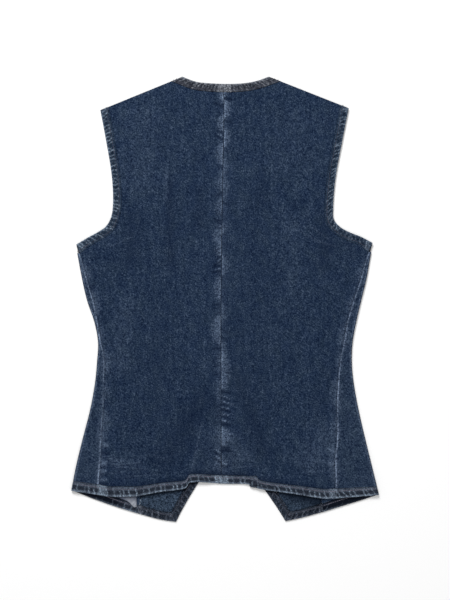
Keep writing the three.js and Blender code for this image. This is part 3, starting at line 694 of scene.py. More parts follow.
# Creases of the narrow strip between side seam and fold: way from the seam, the rest as above
STRIP_SLASHES = [
    (6, 52, 12, 50, 1.5, -0.4, -0.50), (8, 38, 12, 42, 1.4, -0.4, -0.45),
    (6, 18, 13, 52, 1.6, -0.4, -0.50), (7, 2, 12, 46, 1.3, -0.4, -0.45),
    (5, -14, 12, 50, 1.5, -0.4, -0.50), (4, -30, 10, 55, 1.4, -0.4, -0.40),
    (9, -120, 14, 62, 2.0, -0.4, -0.30), (14, -178, 18, 70, 2.4, -0.4, -0.25),
    (22, -236, 22, 74, 2.6, -0.4, -0.25),
]

# %% Broad folds of the back
# Rows: middle x and y, length, angle, width, lift, tone
# Their tones are painted light on the raised folds and creases, and painted shade in the low ones
BACK_FOLDS = [
    (-82, 112, 160, 90, 7, -0.40, -0.18), (-38, 136, 80, 90, 10, -0.30, -0.12),
    (-125, 224, 150, 84, 32, 0.40, 0.015), (-138, 89, 100, 88, 14, -0.40, -0.13),
    (-152, -54, 130, 82, 15, 0.40, 0.018), (150, 84, 110, 88, 12, -0.40, -0.14),
    (56, 164, 70, 90, 9, -0.30, -0.08), (-62, -198, 165, 56, 20, -0.50, -0.17),
    (41, -177, 170, -69, 12, -0.50, -0.15), (0, -235, 90, 90, 28, 0.40, 0.025),
    (138, -226, 84, 55, 20, 0.25, 0.03), (-150, -244, 70, -5, 9, 0.25, 0.015),
    (146, -139, 70, 60, 12, -0.30, -0.08), (100, 60, 170, 92, 16, 0.30, 0.01),
    (104, 238, 110, 86, 36, 0.30, 0.010),
    (-142, -222, 60, 5, 1.2, -0.25, -0.13), (-118, -229, 90, -3, 1.1, -0.25, -0.12),
    (-136, -237, 70, 3, 1.3, -0.30, -0.15), (-104, -243, 60, -4, 1.1, -0.20, -0.10),
    (-130, -248, 84, 2, 1.2, -0.25, -0.12), (-144, -256, 52, -4, 1.3, -0.30, -0.14),
    (-112, -261, 76, 4, 1.1, -0.20, -0.11), (-150, -268, 44, 2, 1.2, -0.25, -0.12),
    (128, -236, 66, -4, 1.1, -0.20, -0.09), (142, -252, 52, 3, 1.2, -0.25, -0.11),
    (118, -262, 60, -2, 1.1, -0.20, -0.09), (-150, -90, 46, 3, 1.2, -0.25, -0.12),
    (-140, 28, 64, 2, 1.2, -0.20, -0.10), (-172, 60, 40, -12, 1.4, -0.25, -0.12),
    (-100, -110, 180, 88, 16, -0.35, -0.04), (172, 82, 60, 20, 9, -0.30, -0.10),
    (-164, -240, 30, -14, 0.9, 0.20, 0.08), (-148, -246, 50, 5, 0.9, 0.20, 0.06),
    (-134, -253, 60, -4, 0.9, 0.20, 0.055), (-162, -259, 30, 8, 1.0, 0.20, 0.05),
    (-124, -264, 62, 4, 0.9, 0.20, 0.04), (-100, -236, 44, -8, 1.0, 0.20, 0.04),
    (-42, -221, 80, 79, 1.0, 0.25, 0.07), (-14, -247, 18, 64, 0.9, 0.25, 0.10),
    (28, -240, 46, -6, 1.2, 0.20, 0.045), (36, -250, 50, 3, 1.1, 0.20, 0.045),
    (24, -230, 34, -10, 6, 0.25, 0.03), (148, -244, 40, -6, 0.9, 0.20, 0.04),
    (140, -257, 46, 4, 0.9, 0.20, 0.045),
    (128, 94, 64, -27, 1.1, 0.25, 0.05), (124, 104, 56, -32, 1.0, -0.25, -0.07),
    (136, 88, 50, -22, 1.1, -0.25, -0.06), (142, 100, 40, -36, 1.0, 0.25, 0.05),
    (150, 84, 44, -14, 1.1, 0.25, 0.045), (146, 78, 44, -10, 1.0, -0.25, -0.06),
    (-156, 86, 48, 24, 1.1, 0.25, 0.04), (-150, 78, 44, 18, 1.0, -0.25, -0.05),
    (-82, 178, 30, 92, 3.0, -0.30, -0.05), (-88, 172, 60, 90, 3.5, 0.25, 0.03),
]
# Times the tones of these rows, the painted light and shade of the folds
FOLD_TONE = 1.9
print("centre seam:", sum(map(len, CENTRE_PATCHES.values())), "patches,",
      len(CENTRE_SLASHES), "slashes; back:", len(BACK_FOLDS), "folds")

# %% [markdown]
# ## Roped edges
#
# A turned and washed edge ropes: it twists a little between its stitches, so low ridges
# run aslant across the band, and each crest is rubbed pale; the hollows between the
# ridges get painted shade. The spacing is regular, because the stitching drives it, but
# no two ridges are alike. So the ridges of a band come from one fixed seed each, with
# their place, lean, reach and strength drawn.

# %% Rope tools
RIDGE_WIDTH = 1.1
RIDGE_HEIGHT = 0.55
STITCH_INSET = 3.2
# Across a band: fine cells where it rolls over at the fold and at the stitched side
BAND_ACROSS = np.concatenate([[0, 0.06, 0.25, 0.55, 0.95], np.linspace(1.45, 11.5, 14),
                              [11.95, 12.25, 12.42, BAND_WIDTH]]) / BAND_WIDTH
STITCH_ROW = np.argmin(np.abs(BAND_ACROSS * BAND_WIDTH - (BAND_WIDTH - STITCH_INSET)))
# Drawn for each ridge, least and most: shift in steps, lean, reach, strength
RIDGE_DRAWS = [(-0.25, 0.25), (0.5, 1.4), (4.5, 9.5), (0.45, 1.2)]
# Ridges lean about this distance from the fold, fade over this length, and add up to a limit
RIDGE_PIVOT, RIDGE_FADE, RIDGE_LIMIT = 4.0, 3, 1.2
# A ridge's bend and breaks, as waves across the band, and how the fold is rubbed along it
RIDGE_BEND, RIDGE_BREAK, BREAK_MEAN = (0.5, 0.9), (0.22, 1.6), 0.78
RUBBED = (0.6, 0.4, (0.21, 1.3), (0.083, 0))
# Zones across a band, from its fold: where each begins and where it ends; the cells are painted
# shade between the ridges
CELLS_START, CELLS_END, CELLS_LIFT = (1.8, 3.2), np.array([6.4, 8.8]), -0.15
STRIP_START, STRIP_END, SEAM_START = (7.0, 8.6), (11.2, 12.2), (11.0, 12.2)
FOLD_WEAR_WIDTH = 2.3
STITCH_DENT = (0.9, -0.22, 0.0)
# A block has soft ends, begins past the fold, and clears this share of the shade
BLOCK_SOFT, BLOCK_START, BLOCK_CLEARS = 1.6, (0, 1.5), 0.7
FOLD_ROUND, SIDE_ROUND = 1.0, 0.55


def rope_table(length, pitch, seed):
    """Rows: place along the band, lean, reach, strength."""
    draw = np.random.default_rng(seed)
    count = max(1, round(length / pitch))
    shift, lean, reach, strength = [draw.uniform(low, high, count) for low, high in RIDGE_DRAWS]
    place = (np.arange(count) + 0.5 + shift) * length / count
    return np.stack([place, lean, reach, strength], axis=1)


class Look:
    """How strongly a band's crests, its cells of painted shade, its stitched strip and fold show,
    and its blocks.
    """

    def __init__(self, crest=0.50, cells=0.50, strip=0.16, fold=0.55, height=RIDGE_HEIGHT,
                 reach=1.0, seam=0.35, blocks=()):
        self.crest, self.cells, self.strip, self.fold = crest, cells, strip, fold
        self.height, self.reach, self.seam, self.blocks = height, reach, seam, blocks


def roped(way, q, table, slant, look):
    """Relief of a roped band; way runs along it and q is the distance from its fold."""
    relief = Relief(np.broadcast_shapes(way.shape, q.shape))
    crest = np.zeros(relief.lift.shape)
    for place, lean, reach, strength in table:
        bend = uneven(q, 0.0, (*RIDGE_BEND, place))
        over = way - place - slant * lean * (q - RIDGE_PIVOT) + bend
        broken = strength * uneven(q, BREAK_MEAN, (*RIDGE_BREAK, 2 * place))
        until = look.reach * reach
        crest += broken * bell(over, RIDGE_WIDTH) * (1 - smooth_step(until, until + RIDGE_FADE, q))
    crest = np.minimum(crest, RIDGE_LIMIT)
    cells_end = 1 - smooth_step(*(CELLS_END * look.reach), q)
    cells = smooth_step(*CELLS_START, q) * cells_end * (1 - np.minimum(crest, 1))
    strip = smooth_step(*STRIP_START, q) * (1 - smooth_step(*STRIP_END, q))
    pale_share = swelling(way, *RUBBED)
    everywhere = np.ones_like(way)
    relief.add(crest, look.height, look.crest)
    # The cells between the ridges: painted shade
    relief.add(cells, CELLS_LIFT, -look.cells)
    relief.line(q, (FOLD_WEAR_WIDTH, 0.0, look.fold), pale_share)
    relief.add(strip * pale_share, 0.0, look.strip)
    relief.add(smooth_step(*SEAM_START, q) * everywhere, 0.0, -look.seam)
    relief.line(q - BAND_WIDTH + STITCH_INSET, STITCH_DENT, everywhere)
    for place, half, lift, tone in look.blocks:
        middle = place * np.max(way)
        block = window(way, middle - half, middle + half, BLOCK_SOFT) * smooth_step(*BLOCK_START, q)
        relief.shade *= 1 - BLOCK_CLEARS * block
        relief.add(block, lift, tone)
    return relief


def rolled(q, width):
    """1 across a band, falling to 0 in a round at its fold and its stitched side."""
    fold = np.clip(1 - q / FOLD_ROUND, 0, 1)
    side = np.clip(1 - (width - q) / SIDE_ROUND, 0, 1)
    return np.sqrt(np.clip(1 - fold**2, 0, 1)) * np.sqrt(np.clip(1 - side**2, 0, 1))


print("a 300 mm edge has", len(rope_table(300, 7.6, 1)), "ridges")

# %% [markdown]
# ## Bands
#
# A band is swept: the same cross-section, a flat oval that is rolled at the fold, is set
# on every step of the edge. All straight and curved bands share one function, which
# notes the stitch line on top of the band for the topstitching later.

# %% Band tool
BAND_CELL = 0.85
stitch_lines = {}


def band_wall(t):
    return BAND_WALL - BAND_ROLL * (2 * t - 1) ** 2


def make_band(name, outer, stitch, face, pitch, slant, seed, look, gloom=None):
    t = BAND_ACROSS[None, :]
    plan = outer[:, None] * (1 - t[..., None]) + stitch[:, None] * t[..., None]
    width = np.linalg.norm(stitch - outer, axis=1)[:, None]
    way = travelled((outer + stitch) / 2)
    ridges = rope_table(way[-1], pitch, seed)
    relief = roped(way[:, None], t * BAND_WIDTH, ridges, slant, look)
    # Bands under the back's hem, and the tab, get painted shade
    relief.shade += 0.0 if gloom is None else gloom(plan)
    roll = rolled(t * width, width)
    half = band_wall(t) / 2
    middle = face(plan) + half
    top = at_height(plan, middle + roll * (half + relief.lift))
    note_cut(name, at_height(plan, middle))
    shell(name, top, at_height(plan, middle - roll * half), relief.wear, relief.shade)
    stitch_lines[name] = top[:, STITCH_ROW]


# Rows of blocks, where seams are folded in: share of the band's length, half length, lift, tone
ARMHOLE_ENDS = [(0.015, 6.0, 0.3, 0.12), (0.985, 5.0, 0.3, 0.08)]
NECK_LOOK = Look(crest=0.66, cells=0.50, strip=0.05, fold=0.40, reach=1.3, seam=0.60,
                 blocks=[(0.485, 9.5, 0.35, 0.40)])
ARMHOLE_LOOKS = {
    "left": Look(crest=0.78, cells=0.45, strip=0.0, fold=0.20, height=0.45, seam=0.0,
                 blocks=ARMHOLE_ENDS),
    "right": Look(crest=0.52, cells=0.42, strip=0.0, fold=0.16, height=0.40, seam=0.0,
                  blocks=ARMHOLE_ENDS),
}
FRONT_LOOK = Look(crest=0.58, cells=0.42, strip=0.10, fold=0.16, height=0.45,
                  blocks=[(0.03, 3.5, 0.25, 0.30), (0.98, 3.0, 0.2, 0.14)])
EDGE_LOOK = Look(crest=0.30, cells=0.30, strip=0.02, fold=0.10, height=0.35)
HIDDEN_LOOK = Look(crest=0.30, cells=0.40, strip=0.04, fold=0.20, height=0.22)


def back_band_face(p):
    return back_face(p) - BAND_DROP


neck = TurnedEdge([CORNERS["left"]["neck"], *NECK_EDGE, CORNERS["right"]["neck"]], -1,
                  start_seam=CORNERS["left"]["shoulder"], end_seam=CORNERS["right"]["shoulder"])
neck_length = neck.length()
make_band("neck_band", *neck.lines(even(neck_length, BAND_CELL)), back_band_face,
          pitch=4.7, slant=-0.06, seed=11, look=NECK_LOOK)
print("neck:", round(neck_length), "mm")

# %% [markdown]
# ## Edges of the back and side lines
#
# The back's armholes start at the underarm, where three pieces meet, and end at the
# shoulder. The step at each end follows the seam that the band is sewn into, so the
# bands end flush with their panels.

# %% Side lines and armholes
PANEL_LIFT = CLOTH
BAND_LIFT = BAND_WALL - BAND_DROP
SIDE_SHARE = 18 / 32
FRONT_SHARE = 0.4
# The turned hem is wider at the sides: times the band's width at each side line
HEM_WIDTHS = {"left": {"seam": 1.28, "fold": 1.22, "princess": 1.0},
              "right": {"seam": 1.20, "fold": 1.08, "princess": 1.0}}


def half_gap(side):
    return np.array([SIGN[side] * SEAM_GAP / 2, 0])


def turn_point(sign, fold, lift):
    """Where the lower layer of a side front leaves its fold."""
    inward = sign * (back_face(fold) + lift) / 2
    return fold - np.stack([inward, np.zeros(fold.shape[:-1])], axis=-1)


armholes, front_armholes, hem_steps, side_lines = {}, {}, {}, {}
for side, sign in SIGN.items():
    corner = CORNERS[side]
    points = np.array([corner["underarm"], *ARMHOLES[side], corner["shoulder"]])
    armholes[side] = TurnedEdge(points, sign, start=corner["seam_top"] - corner["underarm"],
                                end_seam=corner["neck"])
    depth = np.sin(math.pi * np.arange(len(points)) / (len(points) - 1))
    scooped = points - np.stack([sign * FRONT_SCOOP * depth, FRONT_SCOOP_DOWN * depth**2], axis=1)
    fold_turn = turn_point(sign, corner["fold_top"], PANEL_LIFT)
    front_armholes[side] = TurnedEdge(scooped, sign, start=fold_turn - corner["underarm"],
                                      end_seam=corner["neck"])
    first = SIDE_ROWS[side][0]
    steps = {name: unit(np.array([first[ROW_COLUMN[name]], first[0]]) - corner[name + "_hem"])
             for name in ROW_COLUMN}
    widths = {name: BAND_WIDTH * share for name, share in HEM_WIDTHS[side].items()}
    hem_steps[side] = {name: step * widths[name] for name, step in steps.items()}
    starts = {name: corner[name + "_hem"] + step * (widths[name] + SEAM_GAP)
              for name, step in steps.items()}
    tops = {"seam": armholes[side].panel(np.zeros(1))[0], "fold": corner["fold_top"],
            "princess": front_armholes[side].panel(np.array([FRONT_SHARE]))[0]}
    side_lines[side] = {name: column(side, name, starts[name], tops[name]) for name in ROW_COLUMN}
    print(side, "armhole:", round(armholes[side].length()), "mm")

# %% [markdown]
# ## The two halves of the back
#
# The back is cut in two, with a seam down its middle. Each half is a grid between four
# borders: hem, shoulder with half the neck, side seam with armhole, and centre seam. A
# Coons patch fills such a grid so that it meets all four. The cells are about 1 mm wide
# beside the seams, where the puckers are, and three times that in the middle.

# %% Back panels
# The stitch line doesn't follow the small tab at X 38 to 49; it steps down to the right of it
STITCH_STEPS = {18: (0.0, 15.9), 19: (0.6, 17.2), 20: (1.5, 17.6), 21: (-0.5, 14.5),
                22: (0.0, 12.9)}
# Times the band's width, at points of the back's hem
HEM_WIDER = {0: 1.28, 2: 1.25, 4: 1.12, 7: 1.0, 23: 1.0, 26: 1.15, 29: 1.2}
NECK_CENTRE = 0.478
NECK_SHARE = {"left": 6 / 11, "right": 5 / 10}
# Slashes beside the centre seam: how much longer, how far out, and times their tones
SLASH_GROWTH, SLASH_START, SLASH_TONE, PALE_SLASH = 1.3, 0.44, 1.35, 0.8
# Long soft lines along the seams and over the hem: width, lift, tone
CENTRE_RISE, CENTRE_DITCH = (7, 0.10, 0.06), (0.7, -0.30, -0.55)
SIDE_RISE, SIDE_DITCH, SIDE_DITCH_OUT = (6, 0.10, 0.05), (1.1, -0.15, -0.35), 1.6
# Above the hem band the back dips, and the dip gets painted shade
HEM_DITCH = (5.5, -0.30, -0.60)
UNDERARM = (55, 68)
# Cells across and down: length, finest, coarsest, and how far in the fine ones reach
BACK_ACROSS, BACK_DOWN = (190, 1.0, 3.6, 20), (600, 1.0, 2.1, 6)
# Beside a border: how far the cloth is pulled down, its painted shade, and where creases are flat
BORDER_PULL, BORDER_SHADE, BORDER_CLEAR, HOLLOW_SHARE = 0.38, 0.12, 2.0, 0.4

HEM = TurnedEdge(BACK_HEM, 1)
wider = np.interp(np.arange(len(BACK_HEM)), list(HEM_WIDER), list(HEM_WIDER.values()))
HEM.steps[:] = (0, BAND_WIDTH)
HEM.steps *= wider[:, None]
HEM.steps[0], HEM.steps[-1] = hem_steps["left"]["seam"], hem_steps["right"]["seam"]
for point, step in STITCH_STEPS.items():
    HEM.steps[point] = step
centre_points = np.array([HEM.panel(np.zeros(1), HEM_CENTRE)[0], *CENTRE_BACK,
                          neck.panel(np.array([NECK_CENTRE]))[0]])
centre_dense = smooth_line(centre_points, even(600, 2))
hem_dense = smooth_line(HEM.outer, even(400, 0.5))
seam_dense = {side: smooth_line(side_lines[side]["seam"], even(370, 2)) for side in SIGN}


def two_lines(share, first, second, fractions):
    """A border made of two lines that meet where share says."""
    low = fractions[fractions <= share] / share
    high = (fractions[fractions > share] - share) / (1 - share)
    return np.concatenate([first(low), second(high)])


def straight(start, end):
    return lambda fractions: start + (end - start) * np.asarray(fractions)[:, None]


def from_the_seam(row):
    """A slash of the table, grown a little and moved so that it starts at the seam."""
    dx, cy, length, angle, width, lift, tone = row
    length = SLASH_GROWTH * length
    cx = math.copysign(SLASH_START * length * math.cos(math.radians(angle)), dx)
    if tone > 0:
        return cx, cy, length, angle, PALE_SLASH * width, lift, PALE_SLASH * tone
    return cx, cy, length, angle, width, lift, SLASH_TONE * tone


def back_relief(side, plan):
    x, y = plan[..., 0], plan[..., 1]
    relief = Relief(x.shape)
    from_centre = x - np.interp(y, centre_dense[:, 1], centre_dense[:, 0])
    seam = seam_dense[side]
    from_side = SIGN[side] * (np.interp(y, seam[:, 1], seam[:, 0]) - x)
    below_arm = 1 - smooth_step(*UNDERARM, y)
    relief.line(from_centre, CENTRE_RISE)
    relief.line(from_side, SIDE_RISE, below_arm)
    relief.line(from_side - SIDE_DITCH_OUT, SIDE_DITCH, below_arm)
    relief.patches(SIGN[side] * from_centre, y, CENTRE_PATCHES[side])
    relief.patches(from_side, y, SIDE_PATCHES[side])
    # Slashes with a tone below 0 get painted shade in their hollows
    this_side = [row for row in CENTRE_SLASHES if row[0] * SIGN[side] > 0]
    relief.slashes(from_centre, y, map(from_the_seam, this_side))
    relief.slashes(from_side, y, SIDE_SLASHES[side])
    # The broad folds: painted light on the raised ones, painted shade in the low ones
    relief.slashes(x, y, [(*row[:6], FOLD_TONE * row[6]) for row in BACK_FOLDS])
    relief.line(from_centre, CENTRE_DITCH)
    # Painted shade in the dip above the hem band
    relief.line(y - np.interp(x, hem_dense[:, 0], hem_dense[:, 1]) - BAND_WIDTH, HEM_DITCH)
    return relief


def make_back(side):
    name, on_left = "back_cloth_" + side, side == "left"
    gap, armhole, neck_share = half_gap(side), armholes[side], NECK_SHARE[side]
    u = graded(*BACK_ACROSS, corner=neck_share)
    v = graded(*BACK_DOWN, corner=SIDE_SHARE)
    bottom = HEM.panel(u, 0, HEM_CENTRE) if on_left else HEM.panel(u, HEM_CENTRE)
    seam = np.array([bottom[0 if on_left else -1], *side_lines[side]["seam"][1:]])
    side_border = two_lines(SIDE_SHARE, lambda f: smooth_line(seam, f), armhole.panel, v) - gap
    centre_border = smooth_line(centre_points, v) + gap
    neck_from, neck_to = (0.0, NECK_CENTRE) if on_left else (NECK_CENTRE, 1.0)

    def half_neck(fractions):
        return neck.panel(neck_from + (neck_to - neck_from) * np.asarray(fractions))

    shoulder = armhole.panel(np.ones(1))[0]
    neck_end = neck.panel(np.array([0.0 if on_left else 1.0]))[0]
    if on_left:
        top = two_lines(neck_share, straight(shoulder, neck_end), half_neck, u)
        plan = patch(bottom, top, side_border, centre_border, u, v)
    else:
        top = two_lines(neck_share, half_neck, straight(neck_end, shoulder), u)
        plan = patch(bottom, top, centre_border, side_border, u, v)
    drop, near = border_drop(plan, depth=BORDER_PULL)
    relief = back_relief(side, plan)
    # Painted shade along the borders
    relief.add(np.exp(-near) * (near != 0), 0.0, -BORDER_SHADE)
    face = back_face(plan)
    bend = relief.lift * smooth_step(0, BORDER_CLEAR, near)
    note_cut(name, at_height(plan, face))
    shell(name, at_height(plan, face + CLOTH + bend - drop),
          at_height(plan, face + np.minimum(bend, 0) * HOLLOW_SHARE), relief.wear, relief.shade)
    print(name, plan.shape[:2], "points, area", round(cuts[name][2], 4), "m2")


for side in SIGN:
    make_back(side)

# %% [markdown]
# ## Bands of the back
#
# The armhole bands lean the other way on the two sides, as the photo shows. The hem band
# runs from side seam to side seam in one piece, and is thickest where the centre seam
# and the side seams are folded into it. A small tab at its right step is turned under,
# and lies in the dark.

# %% Armhole and hem bands of the back
ARMHOLE_ROPES = {"left": {"slant": 0.45, "seed": 21}, "right": {"slant": -0.4, "seed": 27}}
# The tab's painted shade: how dark, and where it starts and ends
TAB_DARK, TAB_START, TAB_END, TAB_TOP = 0.75, (36, 38), (46, 52), (-278.6, -276.8)
for side, edge in armholes.items():
    make_band("armhole_band_" + side, *edge.lines(even(edge.length(), BAND_CELL)), back_band_face,
              pitch=5.7, look=ARMHOLE_LOOKS[side], **ARMHOLE_ROPES[side])


def parted(outer, stitch, start_x, end_x):
    """Moves the two ends of a band along X, to part them from their neighbours."""
    for line in (outer, stitch):
        line[0, 0] += start_x
        line[-1, 0] += end_x
    return outer, stitch


# Painted shade on the tab that is turned under
def painted_tab_shade(p):
    across = TAB_DARK * smooth_step(*TAB_START, p[..., 0]) * (1 - smooth_step(*TAB_END, p[..., 0]))
    return across * (1 - smooth_step(*TAB_TOP, p[..., 1]))


hem_length = HEM.length()
centre_way = HEM.length(0, HEM_CENTRE)
HEM_LOOK = Look(crest=0.85, cells=0.60, strip=0.22, fold=0.80, blocks=[
    (centre_way / hem_length, 10, 0.4, 0.34), (0.012, 7, 0.3, 0.35), (0.99, 6, 0.3, 0.32)])
make_band("hem_band", *parted(*HEM.lines(even(hem_length, BAND_CELL)), SEAM_GAP / 2, -SEAM_GAP / 2),
          back_band_face, pitch=8.8, slant=-0.3, seed=35, look=HEM_LOOK, gloom=painted_tab_shade)
print("hem:", round(hem_length), "mm, centre seam at", round(centre_way))

# %% [markdown]
# ## The painted shadow under the hem
#
# Little light gets in where the back's hem lies over the lower layers. The lights make a
# part of that dark, and the rest is painted shadow: it is stored in each mesh as `shade`.
# One function of the place gives it, so all the pieces that show beside the hem agree
# where they meet.

# %% Painted shadow under the back's hem
GLOOM, GLOOM_REACH = 0.9, 5.0
# It reaches further at both sides, and over the right front: by how much, from X to X
GLOOM_SIDES, GLOOM_RIGHT = (6.0, 110, 175), (9.0, 80, 100)


def painted_hem_shadow(p):
    """The painted shadow that the hem casts on the lower layer: how dark it is."""
    x = p[..., 0]
    below = np.interp(x, hem_dense[:, 0], hem_dense[:, 1]) - p[..., 1]
    at_sides = GLOOM_SIDES[0] * smooth_step(*GLOOM_SIDES[1:], np.abs(x))
    at_right = GLOOM_RIGHT[0] * smooth_step(*GLOOM_RIGHT[1:], x)
    return GLOOM * bell(np.maximum(below, 0), GLOOM_REACH + at_sides + at_right)


print("gloom 3 mm under the hem:", round(float(painted_hem_shadow(np.array([-120.0, -296.0]))), 2))

# %% [markdown]
# ## Side fronts
#
# The side seam lies on top, a little in from the outline, so the cloth beside it is the
# front, folded round the side. One row of the grid starts at the side seam, runs over the
# upper layer, turns round the fold in half a circle and goes back under to the princess
# seam. The outer and the inner face are both built this way, a wall apart.

# %% Side fronts
# How strongly the pale line along each side seam shows: heights, strengths
SEAM_GLINT = {
    "left": ([-300, -255, -235, -205, -115, -90, -45, -15, 75],
             [1.0, 0.95, 0.6, 0.2, 0.15, 0.4, 0.6, 0.4, 0.45]),
    "right": ([-300, -270, -250, -210, -180, -160, -115, -75, -45, -20, 75],
              [0.5, 0.5, 0.9, 0.7, 0.3, 0.7, 0.55, 0.25, 0.5, 0.35, 0.45]),
}
GLINT_LINE, FOLD_LINE = (1.0, 0.15, 0.95), (1.2, 0.0, 0.18)
# The seam's patches cross to its other side, lower and smaller: shifts, shares
CROSS_TOP, CROSS_BOTTOM, CROSS_SIZE, CROSS_TONE = 9, 11, 0.7, 0.8
# How the pale line comes and goes and wanders, and how flat the strip is at both sides
GLINT_SWELL, GLINT_WANDER = (0.75, 0.25, (0.31, 0), (0.113, 1)), (0.9, (0.5, 0.09, 0.6))
STRIP_CLEAR = 2
ARC_CELLS = 10
# Cells: length and size, or length, finest, coarsest, and how far in the fine ones reach
SIDE_DOWN, SIDE_UNDER, SIDE_ABOVE = (350, 2.3), (100, 5.0), (30, 0.9, 2.4, 6)


def side_hem_line(side, u):
    """The hem of a side front, from fold to princess seam, and the step to its stitch line."""
    corner, steps = CORNERS[side], hem_steps[side]
    turn = turn_point(SIGN[side], corner["fold_hem"], BAND_LIFT)
    hem = smooth_line([turn, *FRONT_HEM[side]["side"], corner["princess_hem"]], u)
    return hem, steps["fold"] * (1 - u[:, None]) + steps["princess"] * u[:, None]


def wrapped(sign, seam, fold, under, wall, lift, top):
    """Outer and inner face of a folded strip, a row for each point of the fold."""
    radius = (back_face(fold) + lift)[:, None] / 2
    turn = turn_point(sign, fold, lift)
    plan = seam[:, None] * (1 - top[None, :, None]) + turn[:, None] * top[None, :, None]
    z = back_face(plan) + lift
    angle = np.linspace(0, math.pi, ARC_CELLS + 1)[None, :]
    faces = []
    for inward in (0.0, wall):
        r = radius - inward
        x = turn[:, :1] + sign * r * np.sin(angle)
        y = np.broadcast_to(fold[:, 1:], x.shape)
        arc = np.stack([x, y, radius + r * np.cos(angle)], axis=-1)
        below = at_height(under[:, 1:], np.full((1, 1), inward))
        faces.append(np.concatenate([at_height(plan, z - inward), arc, below], axis=1))
    return faces


def make_side_front(side):
    sign, lines, gap = SIGN[side], side_lines[side], half_gap(side)
    u, v = even(*SIDE_UNDER), even(*SIDE_DOWN)
    fold = smooth_line(lines["fold"], v)
    seam = smooth_line(lines["seam"], v) + gap
    princess = smooth_line(lines["princess"], v)
    turn = turn_point(sign, fold, PANEL_LIFT)
    hem, step = side_hem_line(side, u)
    bottom = panel_line(hem, hem + step)
    bottom[0], bottom[-1] = turn[0], princess[0]
    top = front_armholes[side].panel(u * FRONT_SHARE)
    top[0] = turn[-1]
    under = patch(bottom, top, turn, princess, u, v)
    under[:, -1] += gap
    across = graded(*SIDE_ABOVE)[:-1]
    outer, inner = wrapped(sign, seam, fold, under, CLOTH, PANEL_LIFT, across)
    cells = np.linalg.norm(np.diff(outer, axis=1), axis=-1)
    way = np.concatenate([np.zeros((len(v), 1)), np.cumsum(cells, axis=1)], axis=1)
    strip = np.linalg.norm(outer[:, len(across)] - outer[:, 0], axis=-1)[:, None]
    y = outer[..., 1]
    relief = Relief(way.shape)
    relief.patches(way, y, [
        (high - CROSS_TOP, low - CROSS_BOTTOM, width * CROSS_SIZE, lift * CROSS_SIZE,
         tone * CROSS_TONE) for high, low, width, lift, tone in SIDE_PATCHES[side]])
    glint = np.interp(y, *SEAM_GLINT[side]) * swelling(y, *GLINT_SWELL)
    relief.line(way - uneven(y, *GLINT_WANDER), GLINT_LINE, glint)
    relief.line(way - strip, FOLD_LINE)
    # Creases of the strip: painted shade in their hollows
    relief.slashes(way, y, STRIP_SLASHES)
    ends = smooth_step(0, STRIP_CLEAR, way) * smooth_step(-STRIP_CLEAR, STRIP_CLEAR, strip - way)
    relief.lift *= ends
    name = "side_front_cloth_" + side
    note_cut(name, outer)
    raised = outer + unit(outer - inner) * relief.lift[..., None]
    shell(name, raised, inner, relief.wear, relief.shade)
    return hem, hem + step


side_hems = {side: make_side_front(side) for side in SIGN}
print("side fronts:", [round(cuts["side_front_cloth_" + side][2], 4) for side in SIGN], "m2")

# %% [markdown]
# ## Hem bands of the side fronts
#
# The same fold, but with the band's thicker wall and its roped relief. The ropes show on
# the outer face above the fold and on the inner face below it, where the vest's inside
# looks up at the camera.

# %% Side hem bands
SIDE_HEM_LOOK = Look(crest=0.85, cells=0.60, strip=0.22, fold=0.90, height=0.45)
SEAM_WEAR, SEAM_WEAR_OUT = (0.9, 0.0, 0.45), 0.8
# The inner face is rubbed less, and the ropes run out before the fold
INSIDE_WEAR, FOLD_CLEAR = 0.5, 6


def make_side_hem(side, pitch, slant, seed):
    corner, steps, gap = CORNERS[side], hem_steps[side], half_gap(side)
    q = BAND_ACROSS[:, None]
    seam = corner["seam_hem"] + steps["seam"] * q + gap
    fold = corner["fold_hem"] + steps["fold"] * q
    hem, step = side_hem_line(side, even(100, BAND_CELL))
    under = hem[None] + step[None] * q[..., None]
    under[:, -1] += gap
    top = even(np.linalg.norm(fold[0] - seam[0]), BAND_CELL)[:-1]
    outer, inner = wrapped(SIGN[side], seam, fold, under, BAND_WALL, BAND_LIFT, top)
    way = travelled(outer[len(outer) // 2])[None, :]
    q = q * BAND_WIDTH
    fold_column = len(top) + ARC_CELLS // 2
    above = np.arange(outer.shape[1]) < fold_column
    relief = roped(way, q, rope_table(way[0, -1], pitch, seed), slant, SIDE_HEM_LOOK)
    relief.line(way - SEAM_WEAR_OUT, SEAM_WEAR, np.ones_like(q))
    relief.wear *= np.where(above, 1.0, INSIDE_WEAR)
    # The inner face under the back's hem gets painted shadow
    relief.shade += painted_hem_shadow(inner) * ~above
    half, middle = (outer - inner) / 2, (outer + inner) / 2
    roll = rolled(q, BAND_WIDTH)
    wall = half * (roll * (band_wall(q / BAND_WIDTH) / BAND_WALL))[..., None]
    rise = unit(half) * (relief.lift * roll)[..., None]
    clear = smooth_step(0, FOLD_CLEAR, np.abs(way - way[0, fold_column]))[..., None]
    above = above[None, :, None]
    outer = middle + wall + rise * above * clear
    inner = middle - wall - rise * (1 - above) * clear
    name = "hem_band_side_cloth_" + side
    note_cut(name, middle)
    shell(name, outer, inner, relief.wear, relief.shade)
    stitch_lines[name + "_above"] = outer[STITCH_ROW, :len(top)]
    stitch_lines[name + "_inside"] = inner[STITCH_ROW, len(top) + ARC_CELLS + 3:]


make_side_hem("left", pitch=8.6, slant=0.3, seed=41)
make_side_hem("right", pitch=8.8, slant=-0.7, seed=47)
lengths = [round(cuts["hem_band_side_cloth_" + side][0] / MM) for side in SIGN]
print("side hem bands:", lengths, "mm")

# %% [markdown]
# ## Fronts
#
# The fronts lie on the surface with their inner face up. Only their hems show, but the
# whole pieces are made, because the vest is also seen from below and from the side. The
# left front runs over the right one's turned edge, and both rise over the buttons.

# %% Fronts
FRONT_SPLIT = 18 / 30
